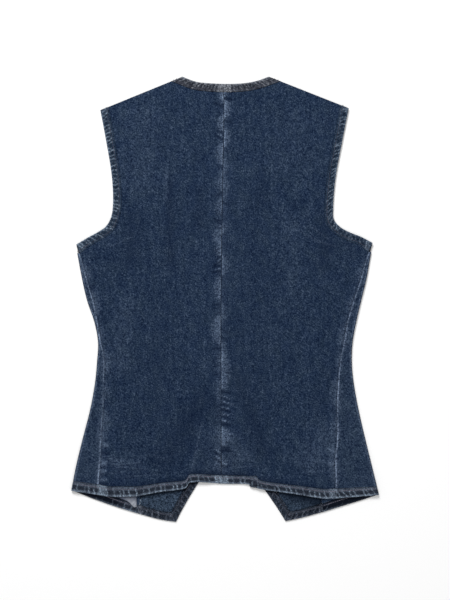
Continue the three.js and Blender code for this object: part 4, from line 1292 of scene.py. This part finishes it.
# The pale line beside the princess seam: strength, distance from it, width
PRINCESS_WEAR, PRINCESS_OUT, PRINCESS_WIDTH = 0.95, 1.0, 0.9
# How far the fronts' borders are pulled down, and the painted shade along them and its width
FRONT_PULL, FRONT_SHADE, FRONT_SHADE_WIDTH = 0.4, 0.5, 1.5
EDGE_CELL = 1.3
# Cells across and down: length, finest, coarsest, and how far in the fine ones reach
FRONT_ACROSS, FRONT_DOWN = (150, 1.2, 5.0, 8), (640, 1.2, 4.6, 22)
EDGE_PITCH, HIDDEN_PITCH = 8.5, 8.0


def on_the_surface(p):
    return np.zeros(p.shape[:-1])


def make_front(side, pitch, slant, seed):
    sign, corner, face, table = SIGN[side], CORNERS[side], front_face(side), FRONT_EDGE[side]
    front_point = np.array(FRONT_HEM[side]["front"][0], float)
    point_step = mitre(corner["hem_point"], front_point, table[0])
    hem = TurnedEdge([corner["princess_hem"], front_point, corner["hem_point"]], 1,
                     start=hem_steps[side]["princess"], end=point_step)
    hem.steps[1] = (0, BAND_WIDTH)
    edge = TurnedEdge([corner["hem_point"], *table, corner["neck"]], -sign,
                      start=point_step, end_seam=corner["shoulder"])
    armhole = front_armholes[side]
    u, v = graded(*FRONT_ACROSS), graded(*FRONT_DOWN, corner=FRONT_SPLIT)
    bottom, free = hem.panel(u), edge.panel(v)
    free[0] = bottom[-1]
    princess = smooth_line(side_lines[side]["princess"], v[v <= FRONT_SPLIT] / FRONT_SPLIT)
    bottom[0] = princess[0]
    upper_share = (v[v > FRONT_SPLIT] - FRONT_SPLIT) / (1 - FRONT_SPLIT)
    upper_side = armhole.panel(FRONT_SHARE + (1 - FRONT_SHARE) * upper_share)
    seam_side = np.concatenate([princess - half_gap(side), upper_side])
    plan = patch(bottom, straight(seam_side[-1], free[-1])(u), seam_side, free, u, v)
    along_shoulder = unit(corner["neck"] - corner["shoulder"])
    away = plan - corner["shoulder"]
    below = np.abs(away[..., 0] * along_shoulder[1] - away[..., 1] * along_shoulder[0])
    wall = CLOTH + SHOULDER_SEAM * (1 - smooth_step(0, SHOULDER_SEAM_WIDTH, below))
    drop, near = border_drop(plan, depth=FRONT_PULL)
    seam = smooth_line(side_lines[side]["princess"], even(100, 2))
    beside = sign * (np.interp(plan[..., 1], seam[:, 1], seam[:, 0]) - plan[..., 0])
    name = "front_cloth_" + side
    note_cut(name, at_height(plan, face(plan)))
    # Painted shade along the borders and under the back's hem
    shell(name, at_height(plan, face(plan) + wall - drop), at_height(plan, face(plan)),
          wear=PRINCESS_WEAR * bell(beside - PRINCESS_OUT, PRINCESS_WIDTH) * (plan[..., 1] < 0),
          shade=FRONT_SHADE * np.exp(-near / FRONT_SHADE_WIDTH) + painted_hem_shadow(plan))
    outward = sign * SEAM_GAP / 2
    hem_lines = parted(*hem.lines(even(hem.length(), BAND_CELL)), -outward, outward)
    edge_lines = parted(*edge.lines(even(edge.length(), EDGE_CELL)), -outward, 0)
    arm_lines = armhole.lines(even(armhole.length(), EDGE_CELL))
    make_band("hem_band_front_cloth_" + side, *hem_lines, face, pitch, slant, seed,
              FRONT_LOOK, painted_hem_shadow)
    make_band("edge_band_cloth_" + side, *edge_lines, face, EDGE_PITCH, -slant, seed + 1,
              EDGE_LOOK, painted_hem_shadow)
    make_band("armhole_band_front_cloth_" + side, *arm_lines, on_the_surface, HIDDEN_PITCH,
              slant, seed + 2, HIDDEN_LOOK)


make_front("left", pitch=8.4, slant=0.35, seed=51)
make_front("right", pitch=8.6, slant=-0.35, seed=57)
print("fronts:", [round(cuts["front_cloth_" + side][2], 4) for side in SIGN], "m2")

# %% [markdown]
# ## The pale cloth
#
# A plain pale cloth is sewn to the inside of the left side front, beside the princess
# seam. Only a corner of it shows under the back's hem, so it needs an edge that isn't
# quite straight and a face that isn't quite flat, and nothing more.

# %% Pale cloth
PALE_CLOTH = {"width": 55, "height": 52, "from_seam": 1.2, "from_band": 0.8}
# Its lower corner hangs down in a tip: how far, where it starts, is full and is blunted
TIP, TIP_FROM, TIP_FULL, TIP_BLUNT, TIP_BLUNT_SHARE = 6.5, 14, 2, 4, 0.25
# It lies on the side front, and rises over the hem band where it hangs across it
PALE_REST, PALE_OVER_BAND, BAND_REACH = 0.3, 1.4, (-3.0, 0.3)
# Its borders are pulled down and get painted shade: the depth and width of each
PALE_PULL, PALE_PULL_WIDTH, PALE_SHADE, PALE_SHADE_WIDTH = 0.35, 1.4, 0.5, 0.9
PALE_COLUMNS, PALE_ROWS = 41, 60
# Its lower edge waves, less and less upwards, and its face is a little wavy aslant
EDGE_WAVE, EDGE_WAVE_FADE = (0.4, 0.23, 0), 9
FACE_WAVE, FACE_PACE_X, FACE_PACE_Y = (0.12, 1, 0), 0.35, 0.22


def make_pale_cloth():
    size = PALE_CLOTH
    right = CORNERS["left"]["princess_hem"][0] - size["from_seam"]
    x = np.linspace(right - size["width"], right, PALE_COLUMNS)
    stitch = side_hems["left"][1]
    band_y = np.interp(x, stitch[:, 0], stitch[:, 1])
    blunt = 1 - TIP_BLUNT_SHARE * smooth_step(right - TIP_BLUNT, right, x)
    tip = TIP * smooth_step(right - TIP_FROM, right - TIP_FULL, x) * blunt
    rows = np.linspace(0, 1, PALE_ROWS)
    y = band_y + size["from_band"] - tip
    top = band_y + size["from_band"] + size["height"]
    y = y[None] * (1 - rows[:, None]) + top[None] * rows[:, None]
    plan = np.stack([np.broadcast_to(x, y.shape), y], axis=-1)
    plan[..., 1] += uneven(plan[..., 0], 0.0, EDGE_WAVE) * np.exp(-rows * EDGE_WAVE_FADE)[:, None]
    over_band = smooth_step(*BAND_REACH, band_y[None] - plan[..., 1])
    aslant = plan[..., 0] * FACE_PACE_X + plan[..., 1] * FACE_PACE_Y
    z = uneven(aslant, CLOTH + PALE_REST, FACE_WAVE) + PALE_OVER_BAND * over_band
    drop, near = border_drop(plan, radius=PALE_PULL_WIDTH, depth=PALE_PULL)
    note_cut("pale_cloth", at_height(plan, z))
    # Painted shade along its borders and under the back's hem
    shell("pale_cloth", at_height(plan, z + LABEL_WALL - drop), at_height(plan, z),
          shade=PALE_SHADE * np.exp(-near / PALE_SHADE_WIDTH) + painted_hem_shadow(plan))


make_pale_cloth()
print("pale cloth:", [round(n, 4) for n in cuts["pale_cloth"]])

# %% [markdown]
# ## Shader helpers
#
# A material is a small network. These helpers place a node and wire its inputs in one
# line, so that each network below reads as a list of what it mixes. Noise is the usual
# start: it varies about a half, so `spread` stretches its middle part over a full range.

# %% Node helpers
# How far a seed shifts a noise along X, Y and Z, in cells
SEED_STEPS = (1.0, 0.7, 1.3)


def set_input(tree, socket, value):
    """Wires a socket to another node's output, or sets it to a plain value."""
    if isinstance(value, bpy.types.NodeSocket):
        tree.links.new(value, socket)
    else:
        socket.default_value = value


def place_node(tree, kind, settings=None, **inputs):
    """A node; an input goes by its name, with _ for each space, or by n and its number."""
    made = tree.nodes.new(kind)
    for name, value in (settings or {}).items():
        setattr(made, name, value)
    for name, value in inputs.items():
        numbered = name[0] == "n" and name[1:].isdigit()
        set_input(tree, made.inputs[int(name[1:]) if numbered else name.replace("_", " ")], value)
    return made


def maths(tree, operation, a, b=0.0, c=0.0, clamp=False):
    settings = {"operation": operation, "use_clamp": clamp}
    return place_node(tree, "ShaderNodeMath", settings, n0=a, n1=b, n2=c).outputs[0]


def add_up(tree, total, *terms):
    """A total, with each value added times its share."""
    for value, share in terms:
        total = maths(tree, "MULTIPLY_ADD", value, share, total)
    return total


def mix_colour(tree, amount, a, b):
    made = place_node(tree, "ShaderNodeMix", {"data_type": "RGBA"}, n0=amount, n6=a, n7=b)
    return made.outputs[2]


def spread(tree, value, low, to_low=-1.0):
    """Stretches the middle of a value, low to 1 - low, over the range to_low to 1."""
    return place_node(tree, "ShaderNodeMapRange", None, Value=value, From_Min=low,
                      From_Max=1.0 - low, To_Min=to_low, To_Max=1.0).outputs[0]


def noise(tree, place, cell, detail=2.0, rough=0.5, seed=0.0):
    """Noise with cells of the given size in millimetres, one for each axis."""
    scale = tuple(1.0 / (c * MM) for c in cell)
    shift = tuple(seed * step for step in SEED_STEPS)
    moved = place_node(tree, "ShaderNodeVectorMath", {"operation": "MULTIPLY_ADD"},
                       n0=place, n1=scale, n2=shift).outputs[0]
    made = place_node(tree, "ShaderNodeTexNoise", None, Vector=moved, Scale=1.0,
                      Detail=detail, Roughness=rough)
    return made.outputs[0]


def ribs(tree, way, pitch):
    """A wave along a value, one rib for each pitch in millimetres."""
    return maths(tree, "SINE", maths(tree, "MULTIPLY", way, 2 * math.pi / (pitch * MM)))


def srgb(red, green, blue):
    """A colour as a paint chart gives it, made linear."""
    parts = [c / 255 for c in (red, green, blue)]
    return (*[p / 12.92 if p <= 0.04045 else ((p + 0.055) / 1.055) ** 2.4 for p in parts], 1.0)


print("mid denim:", [round(c, 3) for c in srgb(39, 54, 74)[:3]])

# %% [markdown]
# ## Denim
#
# Denim is a twill: blue warp threads over white weft. From arm's length it is a dark
# blue field with pale specks, because the weft peeps through between the warp threads,
# with faint upright streaks where a warp thread is thicker. All denim pieces of the vest
# share one node group; each material gives it its own colours and strengths. The group
# reads the place on the cloth, and the wear with its painted light and the painted shade
# stored in the mesh.

# %% Denim group
BLACK = (0.0, 0.0, 0.0, 1.0)
GREENISH = srgb(36, 49, 56)
# Noises of the weave: cells along X, Y and Z, detail, roughness, seed, and what spread cuts off
FINE, FLECK = ((1.6, 1.8, 1.7), 1.5, 0.6, 3.1, 0.35), ((4.8, 2.3, 3.4), 2.0, 0.7, 7.7, 0.34)
STREAK, CLOUD = ((5.0, 34, 5.0), 2.0, 0.6, 1.9, 0.34), ((13, 18, 14), 3.0, 0.6, 5.3, 0.30)
RIB_PITCH, RIB_LEAN = 1.7, 1.9
FINE_SHARE, FLECK_SHARE, RIB_SHARE = 0.80, 0.35, 0.10
# Only the brightest grains take the speck colour
SPECK_POWER, SPECK_SHARE = 1.8, 0.26
# Shares and bases: the tint that clouds give, the grain of worn places and of painted light, and
# the roughness
TINT, PALE_GRAIN, ROUGH = (0.16, 0.12), (0.60, 0.70), (-0.05, 0.88)
# How much black goes into the colour of the painted shade
BLACKENED = 0.10
RIB_HEIGHT, FINE_HEIGHT, FLECK_HEIGHT = 0.25, 0.5, 0.35
ASLANT = math.radians(45)


def denim_group():
    tree = bpy.data.node_groups.new("denim weave", "ShaderNodeTree")
    make = tree.interface.new_socket
    make(name="Place", in_out="INPUT", socket_type="NodeSocketVector")
    for name in ("Deep", "Mid", "Speck", "Pale"):
        make(name=name, in_out="INPUT", socket_type="NodeSocketColor")
    for name, start in (("Speckle", 0.6), ("Streaks", 0.2), ("Clouds", 0.2), ("Wear", 0.0),
                        ("Shade", 0.0)):
        make(name=name, in_out="INPUT", socket_type="NodeSocketFloat").default_value = start
    for name, kind in (("Colour", "Color"), ("Roughness", "Float"), ("Height", "Float")):
        make(name=name, in_out="OUTPUT", socket_type="NodeSocket" + kind)
    given = tree.nodes.new("NodeGroupInput").outputs
    place = given["Place"]

    def grain(where, cells, detail, rough, seed, low):
        return spread(tree, noise(tree, where, cells, detail, rough, seed), low)

    aslant = place_node(tree, "ShaderNodeVectorRotate", None, Vector=place, Angle=ASLANT).outputs[0]
    fine, fleck = grain(place, *FINE), grain(aslant, *FLECK)
    streak, cloud = grain(place, *STREAK), grain(place, *CLOUD)
    split = place_node(tree, "ShaderNodeSeparateXYZ", None, Vector=place)
    rib = ribs(tree, add_up(tree, split.outputs[1], (split.outputs[0], RIB_LEAN)), RIB_PITCH)

    tone = add_up(tree, maths(tree, "MULTIPLY", fine, FINE_SHARE), (fleck, FLECK_SHARE))
    tone = maths(tree, "MULTIPLY", tone, given["Speckle"])
    tone = add_up(tree, tone, (streak, given["Streaks"]), (cloud, given["Clouds"]),
                  (rib, RIB_SHARE))
    darker = maths(tree, "ADD", tone, 1.0, clamp=True)
    bright = maths(tree, "POWER", maths(tree, "MAXIMUM", tone, 0.0), SPECK_POWER)
    paler = maths(tree, "MULTIPLY", bright, SPECK_SHARE, clamp=True)
    tint = maths(tree, "MULTIPLY_ADD", cloud, *TINT, clamp=True)
    middle = mix_colour(tree, tint, given["Mid"], GREENISH)
    colour = mix_colour(tree, darker, given["Deep"], middle)
    colour = mix_colour(tree, paler, colour, given["Speck"])
    # Worn places, and the painted light of the broad folds, mix towards the pale colour
    pale_share = maths(tree, "MULTIPLY_ADD", fine, *PALE_GRAIN)
    pale_share = maths(tree, "MULTIPLY", pale_share, given["Wear"], clamp=True)
    colour = mix_colour(tree, pale_share, colour, given["Pale"])
    # Painted shade: the stored shade darkens the colour towards this one
    shade_colour = mix_colour(tree, BLACKENED, given["Deep"], BLACK)
    colour = mix_colour(tree, given["Shade"], colour, shade_colour)

    height = maths(tree, "MULTIPLY", rib, RIB_HEIGHT)
    height = add_up(tree, height, (fine, FINE_HEIGHT), (fleck, FLECK_HEIGHT))
    rough = maths(tree, "MULTIPLY_ADD", fine, *ROUGH, clamp=True)
    out = tree.nodes.new("NodeGroupOutput")
    for name, value in (("Colour", colour), ("Roughness", rough), ("Height", height)):
        tree.links.new(value, out.inputs[name])
    return tree


weave = denim_group()


def new_material(name):
    material = bpy.data.materials.new(name)
    material.use_nodes = True
    tree = material.node_tree
    return material, tree, tree.nodes["Principled BSDF"]


def object_place(tree):
    return tree.nodes.new("ShaderNodeTexCoord").outputs["Object"]


def stored(tree, name):
    """A value that the mesh keeps at each of its points."""
    return place_node(tree, "ShaderNodeAttribute", {"attribute_name": name}).outputs["Fac"]


def finish(tree, shader, colour, rough, height, bump, depth, **constants):
    """Wires a surface into its shader, and sets constants on the shader's own sockets."""
    relief = place_node(tree, "ShaderNodeBump", None, Strength=bump, Distance=depth * MM,
                        Height=height).outputs["Normal"]
    for name, value in (("Base Color", colour), ("Roughness", rough), ("Normal", relief)):
        tree.links.new(value, shader.inputs[name])
    for name, value in constants.items():
        shader.inputs[name.replace("_", " ")].default_value = value


DEEP, SPECK, PALE = srgb(6, 19, 42), srgb(107, 124, 149), srgb(146, 163, 182)


def denim(name, deep, mid, pale, speckle=0.6, streaks=0.2, clouds=0.2, bump=0.25):
    material, tree, shader = new_material(name)
    cloth = place_node(tree, "ShaderNodeGroup", {"node_tree": weave}, Place=object_place(tree),
                       Deep=deep, Mid=mid, Speck=SPECK, Pale=pale, Speckle=speckle,
                       Streaks=streaks, Clouds=clouds, Wear=stored(tree, "wear"),
                       Shade=stored(tree, "shade")).outputs
    finish(tree, shader, cloth["Colour"], cloth["Roughness"], cloth["Height"], bump, depth=0.4,
           Specular_IOR_Level=0.03, Sheen_Weight=0.01, Sheen_Roughness=0.6)
    return material


BAND = {"streaks": 0.05, "bump": 0.4}
outer_denim = denim("denim outer face", DEEP, srgb(30, 45, 68), srgb(142, 162, 190),
                    speckle=0.97, streaks=0.17, clouds=0.15)
side_denim = denim("denim of the side fronts", DEEP, srgb(38, 52, 73), srgb(150, 168, 196),
                   speckle=1.0, streaks=0.10)
inner_denim = denim("denim inner face", srgb(10, 19, 33), srgb(49, 63, 81), PALE,
                    speckle=1.2, streaks=0.16)
band_denim = denim("denim of the turned edges", srgb(12, 17, 28), srgb(58, 65, 79), PALE,
                   speckle=0.85, **BAND)
arm_band_denim = denim("denim of the armhole edges", srgb(8, 18, 32), srgb(36, 50, 70), PALE,
                       speckle=0.9, **BAND)
neck_denim = denim("denim of the neck edge", srgb(16, 18, 26), srgb(58, 62, 73),
                   srgb(154, 158, 166), speckle=0.9, **BAND)
front_band_denim = denim("denim of the fronts' edges", srgb(8, 11, 20), srgb(38, 44, 56),
                         srgb(138, 146, 162), speckle=1.1, **BAND)
print("denim materials:", [m.name for m in bpy.data.materials])

# %% [markdown]
# ## Thread, pale cloth and metal
#
# The topstitching is a thick two-ply thread in a dusty mauve brown. Its twist is a fine
# stripe. The pale cloth is a plain weave: two crossed ribs. The tack buttons are under
# the vest; their metal is old, so it is duller in blotches.

# %% Other materials


def blotches(tree, place, cells, detail, seed, low, rough=0.6):
    """Noise from 0 to 1; low is what spread cuts off."""
    return spread(tree, noise(tree, place, cells, detail, rough, seed), low, to_low=0.0)


def thread_material(name, dark, light):
    material, tree, shader = new_material(name)
    place = object_place(tree)
    faded = blotches(tree, place, (9, 9, 9), detail=2.0, seed=2.2, low=0.35)
    ply = blotches(tree, place, (0.5, 0.5, 0.5), detail=1.0, seed=4.0, low=0.3, rough=0.5)
    colour = mix_colour(tree, faded, dark, light)
    colour = mix_colour(tree, maths(tree, "MULTIPLY", ply, 0.5), colour, srgb(48, 42, 52))
    rough = maths(tree, "MULTIPLY_ADD", ply, 0.15, 0.62)
    finish(tree, shader, colour, rough, height=ply, bump=0.4, depth=0.1, Specular_IOR_Level=0.35)
    return material


def pale_material():
    material, tree, shader = new_material("pale woven cloth")
    place = object_place(tree)
    split = place_node(tree, "ShaderNodeSeparateXYZ", None, Vector=place).outputs
    crossed = maths(tree, "MULTIPLY", *[ribs(tree, split[k], pitch=0.9) for k in (0, 1)])
    soil = blotches(tree, place, (7, 9, 7), detail=3.0, seed=6.0, low=0.35)
    speck = blotches(tree, place, (1.7, 1.7, 1.7), detail=2.0, seed=8.0, low=0.3)
    colour = mix_colour(tree, soil, srgb(118, 124, 136), srgb(176, 180, 188))
    colour = mix_colour(tree, maths(tree, "MULTIPLY", speck, 0.35), colour, srgb(96, 104, 120))
    # Painted shade: the stored shade darkens the pale cloth
    colour = mix_colour(tree, stored(tree, "shade"), colour, srgb(58, 66, 84))
    rough = maths(tree, "MULTIPLY_ADD", speck, 0.1, 0.8)
    finish(tree, shader, colour, rough, height=crossed, bump=0.3, depth=0.2, Sheen_Weight=0.1)
    return material


def metal_material():
    material, tree, shader = new_material("aged button metal")
    place = object_place(tree)
    dull = blotches(tree, place, (2.4, 2.4, 2.4), detail=4.0, seed=1.0, low=0.35)
    scuffs = noise(tree, place, (0.25, 0.25, 0.25), detail=2.0, rough=0.5, seed=2.0)
    colour = mix_colour(tree, dull, srgb(150, 128, 98), srgb(92, 78, 62))
    rough = maths(tree, "MULTIPLY_ADD", dull, 0.25, 0.32)
    finish(tree, shader, colour, rough, height=scuffs, bump=0.2, depth=0.1, Metallic=1.0)
    return material


thread = thread_material("topstitch thread", srgb(78, 74, 88), srgb(136, 130, 147))
old_thread = thread_material("darkened thread", srgb(36, 37, 48), srgb(86, 86, 100))
pale_weave, button_metal = pale_material(), metal_material()
BUTTONS = ["button_1", "button_2", "button_3", "button_4", "button_5"]
for name in BUTTONS:
    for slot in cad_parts[name].material_slots:
        slot.material = button_metal
print("materials:", len(bpy.data.materials), "of them metal on", len(BUTTONS), "buttons")

# %% [markdown]
# ## Topstitching
#
# About a thousand stitches hold the edges. Each is a short arc of thread that dips into
# the cloth at both ends. Geometry Nodes set one such arc on every step of the stitch
# lines: the line is cut into steps of one stitch, each step gets the arc, turned to the
# line's direction, and a little chance keeps the row from looking printed. The result is
# then kept as a plain mesh, and the guide with its modifier is removed.

# %% Stitch tree
STITCH = {"Pitch": 3.3 * MM, "Length": 2.5 * MM, "Thickness": 0.75 * MM, "Rise": 0.42 * MM}
ARC_STEPS, RING_STEPS = 4, 6
# Times a stitch's rise: where its ends dip to, and where the arc's middle handle is
DIP, ARC_HANDLE = -0.6, 1.7
# By chance, least and most: a turn in radians, and times the size
SWAY, SIZE_RANGE, SIZE_SEED = (-0.10, 0.10), (0.86, 1.12), 5.0


def stitch_tree():
    tree = bpy.data.node_groups.new("topstitches", "GeometryNodeTree")
    make = tree.interface.new_socket
    make(name="Geometry", in_out="INPUT", socket_type="NodeSocketGeometry")
    for name, size in STITCH.items():
        make(name=name, in_out="INPUT", socket_type="NodeSocketFloat").default_value = size
    make(name="Seed", in_out="INPUT", socket_type="NodeSocketInt").default_value = 1
    make(name="Thread", in_out="INPUT", socket_type="NodeSocketMaterial")
    make(name="Geometry", in_out="OUTPUT", socket_type="NodeSocketGeometry")
    given = tree.nodes.new("NodeGroupInput").outputs

    def times(name, share):
        return maths(tree, "MULTIPLY", given[name], share)

    def chance(seed, low, high):
        return place_node(tree, "FunctionNodeRandomValue", {"data_type": "FLOAT"},
                          n2=low, n3=high, Seed=seed).outputs[1]

    dip = times("Rise", DIP)
    start, middle, end = [place_node(tree, "ShaderNodeCombineXYZ", None, X=x, Z=z).outputs[0]
                          for x, z in ((times("Length", -0.5), dip),
                                       (0.0, times("Rise", ARC_HANDLE)),
                                       (times("Length", 0.5), dip))]
    arc = place_node(tree, "GeometryNodeCurveQuadraticBezier", None, Resolution=ARC_STEPS,
                     Start=start, Middle=middle, End=end)
    ring = place_node(tree, "GeometryNodeCurvePrimitiveCircle", None, Resolution=RING_STEPS,
                      Radius=times("Thickness", 0.5))
    stitch = place_node(tree, "GeometryNodeCurveToMesh", None, Curve=arc.outputs[0],
                        Profile_Curve=ring.outputs[0], Fill_Caps=True)

    line = place_node(tree, "GeometryNodeMeshToCurve", None, Mesh=given["Geometry"])
    steps = place_node(tree, "GeometryNodeResampleCurve", {"mode": "LENGTH"},
                       Curve=line.outputs[0], Length=given["Pitch"])
    tangent = tree.nodes.new("GeometryNodeInputTangent").outputs[0]
    turned = place_node(tree, "FunctionNodeAlignRotationToVector",
                        {"axis": "X", "pivot_axis": "Z"}, Vector=tangent)
    sway = place_node(tree, "ShaderNodeCombineXYZ", None, Z=chance(given["Seed"], *SWAY))
    swayed = place_node(tree, "FunctionNodeRotateRotation", {"rotation_space": "LOCAL"},
                        Rotation=turned.outputs[0], n1=sway.outputs[0])
    size = chance(maths(tree, "ADD", given["Seed"], SIZE_SEED), *SIZE_RANGE)
    placed = place_node(tree, "GeometryNodeInstanceOnPoints", None, Points=steps.outputs[0],
                        Instance=stitch.outputs[0], Rotation=swayed.outputs[0], Scale=size)
    real = place_node(tree, "GeometryNodeRealizeInstances", None, Geometry=placed.outputs[0])
    painted = place_node(tree, "GeometryNodeSetMaterial", None, Geometry=real.outputs[0],
                         Material=given["Thread"])
    tree.links.new(painted.outputs[0], tree.nodes.new("NodeGroupOutput").inputs[0])
    return tree


stitching = stitch_tree()


def sew(name, line_names, seed, thread):
    points, edges = [], []
    for line_name in line_names:
        line = stitch_lines[line_name]
        first = len(points)
        points.extend((line * MM).tolist())
        edges.extend((first + k, first + k + 1) for k in range(len(line) - 1))
    guide = bpy.data.meshes.new(name + "_guide")
    guide.from_pydata(points, edges, [])
    holder = place_object(name + "_guide", guide)
    modifier = holder.modifiers.new("stitches", "NODES")
    modifier.node_group = stitching
    sockets = {s.name: s.identifier for s in stitching.interface.items_tree if s.in_out == "INPUT"}
    for label, value in {**STITCH, "Seed": seed, "Thread": thread}.items():
        modifier[sockets[label]] = value
    seen = holder.evaluated_get(bpy.context.evaluated_depsgraph_get())
    mesh = bpy.data.meshes.new_from_object(seen)
    mesh.name = name
    bpy.data.objects.remove(holder)
    bpy.data.meshes.remove(guide)
    mesh.shade_smooth()
    faces_each = ARC_STEPS * RING_STEPS + 2
    print(name, len(mesh.polygons) // faces_each, "stitches")
    return place_object(name, mesh)


side_hem_lines = [n for n in stitch_lines if n.startswith("hem_band_side")]
front_lines = [n for n in stitch_lines if "front_cloth" in n or n.startswith("edge_band")]
opening_lines = ["neck_band", "armhole_band_left", "armhole_band_right"]
stitches = {name: sew(name, *how) for name, how in {
    "topstitches_back": (["hem_band"], 3, thread),
    "topstitches_openings": (opening_lines, 6, old_thread),
    "topstitches_sides": (side_hem_lines, 5, thread),
    "topstitches_fronts": (front_lines, 8, old_thread)}.items()}

# %% [markdown]
# ## What each piece stands for
#
# Each shell takes the place of its solid, rides on the one body, and gets its material.
# Left and right are alike here, so one row of the table serves both. The flat size that
# each piece was cut to is noted from its pattern when it is made.

# %% Bodies and materials
ON_FRONTS, ON_FLOOR = ["front_cloth_left", "front_cloth_right"], ["floor"]
# Each kind of shell: the solid that it replaces, its slot, its material, what it lies on
KINDS = {
    "neck_band": ("neck_band_back", "denim_band", neck_denim, ON_FRONTS),
    "hem_band": ("hem_band_back", "denim_band", band_denim, ON_FRONTS),
    "pale_cloth": ("label_cloth", "pale_cloth", pale_weave, ["side_front_cloth_left"]),
    "back_cloth": ("back", "denim_back", outer_denim, ON_FRONTS),
    "side_front_cloth": ("side_front", "denim_side", side_denim, ON_FLOOR),
    "front_cloth": ("front", "denim_front", inner_denim, ON_FLOOR),
    "armhole_band": ("armhole_band_back", "denim_band", arm_band_denim, ON_FRONTS),
    "armhole_band_front_cloth": ("armhole_band_front", "denim_band", front_band_denim, ON_FLOOR),
    "hem_band_side_cloth": ("hem_band_side", "denim_band", band_denim, ON_FLOOR),
    "hem_band_front_cloth": ("hem_band_front", "denim_band", front_band_denim, ON_FLOOR),
    "edge_band_cloth": ("edge_band", "denim_band", front_band_denim, ON_FLOOR),
}


def kind_and_ending(name):
    """A shell's kind, and the ending of its name that tells left from right."""
    for ending in ("_left", "_right"):
        if name.endswith(ending):
            return name.removesuffix(ending), ending
    return name, ""


for name, piece in shells.items():
    kind, ending = kind_and_ending(name)
    solid, slot, material, rests_on = KINDS[kind]
    piece.data.materials.append(material)
    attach(piece, "root")
    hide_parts(solid + ending)
for piece in stitches.values():
    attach(piece, "root")

# %% [markdown]
# ## Floor and light
#
# The vest lies on a plain pale floor, lit as for a catalogue: one very large soft light
# towards the neck, a weaker one from the other side, and a pale room all round.

# %% Floor and lights
FLOOR_HALF, FLOOR_DROP, FLOOR_GREY = 3.0, 0.0003, 0.96
# Place, size in metres, watts
LIGHTS = {"neck_light": ((-0.7, 2.0, 1.9), 1.1, 74.0), "hem_light": ((0.6, -1.7, 2.2), 1.8, 17.0)}
ROOM_LIGHT = 0.42
floor_mesh = bpy.data.meshes.new("floor")
floor_mesh.from_pydata([(x * FLOOR_HALF, y * FLOOR_HALF, -FLOOR_DROP)
                        for x, y in ((-1, -1), (1, -1), (1, 1), (-1, 1))], [], [(0, 1, 2, 3)])
floor = place_object("floor", floor_mesh)
floor_paint, _, floor_shader = new_material("plain pale floor")
floor_shader.inputs["Base Color"].default_value = (FLOOR_GREY, FLOOR_GREY, FLOOR_GREY, 1)
floor_shader.inputs["Roughness"].default_value = 0.9
floor_shader.inputs["Specular IOR Level"].default_value = 0.1
floor_mesh.materials.append(floor_paint)
floor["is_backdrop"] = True


def soft_light(name, place, size, watts):
    """A square light that looks at the middle of the vest."""
    data = bpy.data.lights.new(name, "AREA")
    data.size, data.energy = size, watts
    light = place_object(name, data)
    light.location = place
    aim = -np.array(place) / np.linalg.norm(place)
    light.rotation_euler = (math.acos(-aim[2]), 0.0, math.atan2(aim[1], aim[0]) - math.pi / 2)


for name, (place, size, watts) in LIGHTS.items():
    soft_light(name, place, size, watts)
world = bpy.data.worlds.new("studio")
bpy.context.scene.world = world
world.use_nodes = True
room = world.node_tree.nodes["Background"].inputs
room["Color"].default_value, room["Strength"].default_value = (1.0, 1.0, 1.0, 1.0), ROOM_LIGHT
bpy.context.scene.view_settings.view_transform = "Standard"
print("lights:", list(LIGHTS))

# %% [markdown]
# ## Sizes and the end
#
# The dressed vest may stand a little proud of its solids, as cloth does, but it may not
# grow. So both boxes are written down and can be compared after each run.

# %% Both boxes
dressed_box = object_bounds()
boxes = {"solids": [list(map(float, corner)) for corner in cad_box],
         "dressed": [list(map(float, corner)) for corner in dressed_box]}
for name, (low, high) in boxes.items():
    print(name, "from", [round(v, 4) for v in low], "to", [round(v, 4) for v in high])
pieces = [*shells.values(), *stitches.values()]
triangles = sum(len(face.vertices) - 2 for piece in pieces for face in piece.data.polygons)
print("triangles:", triangles)
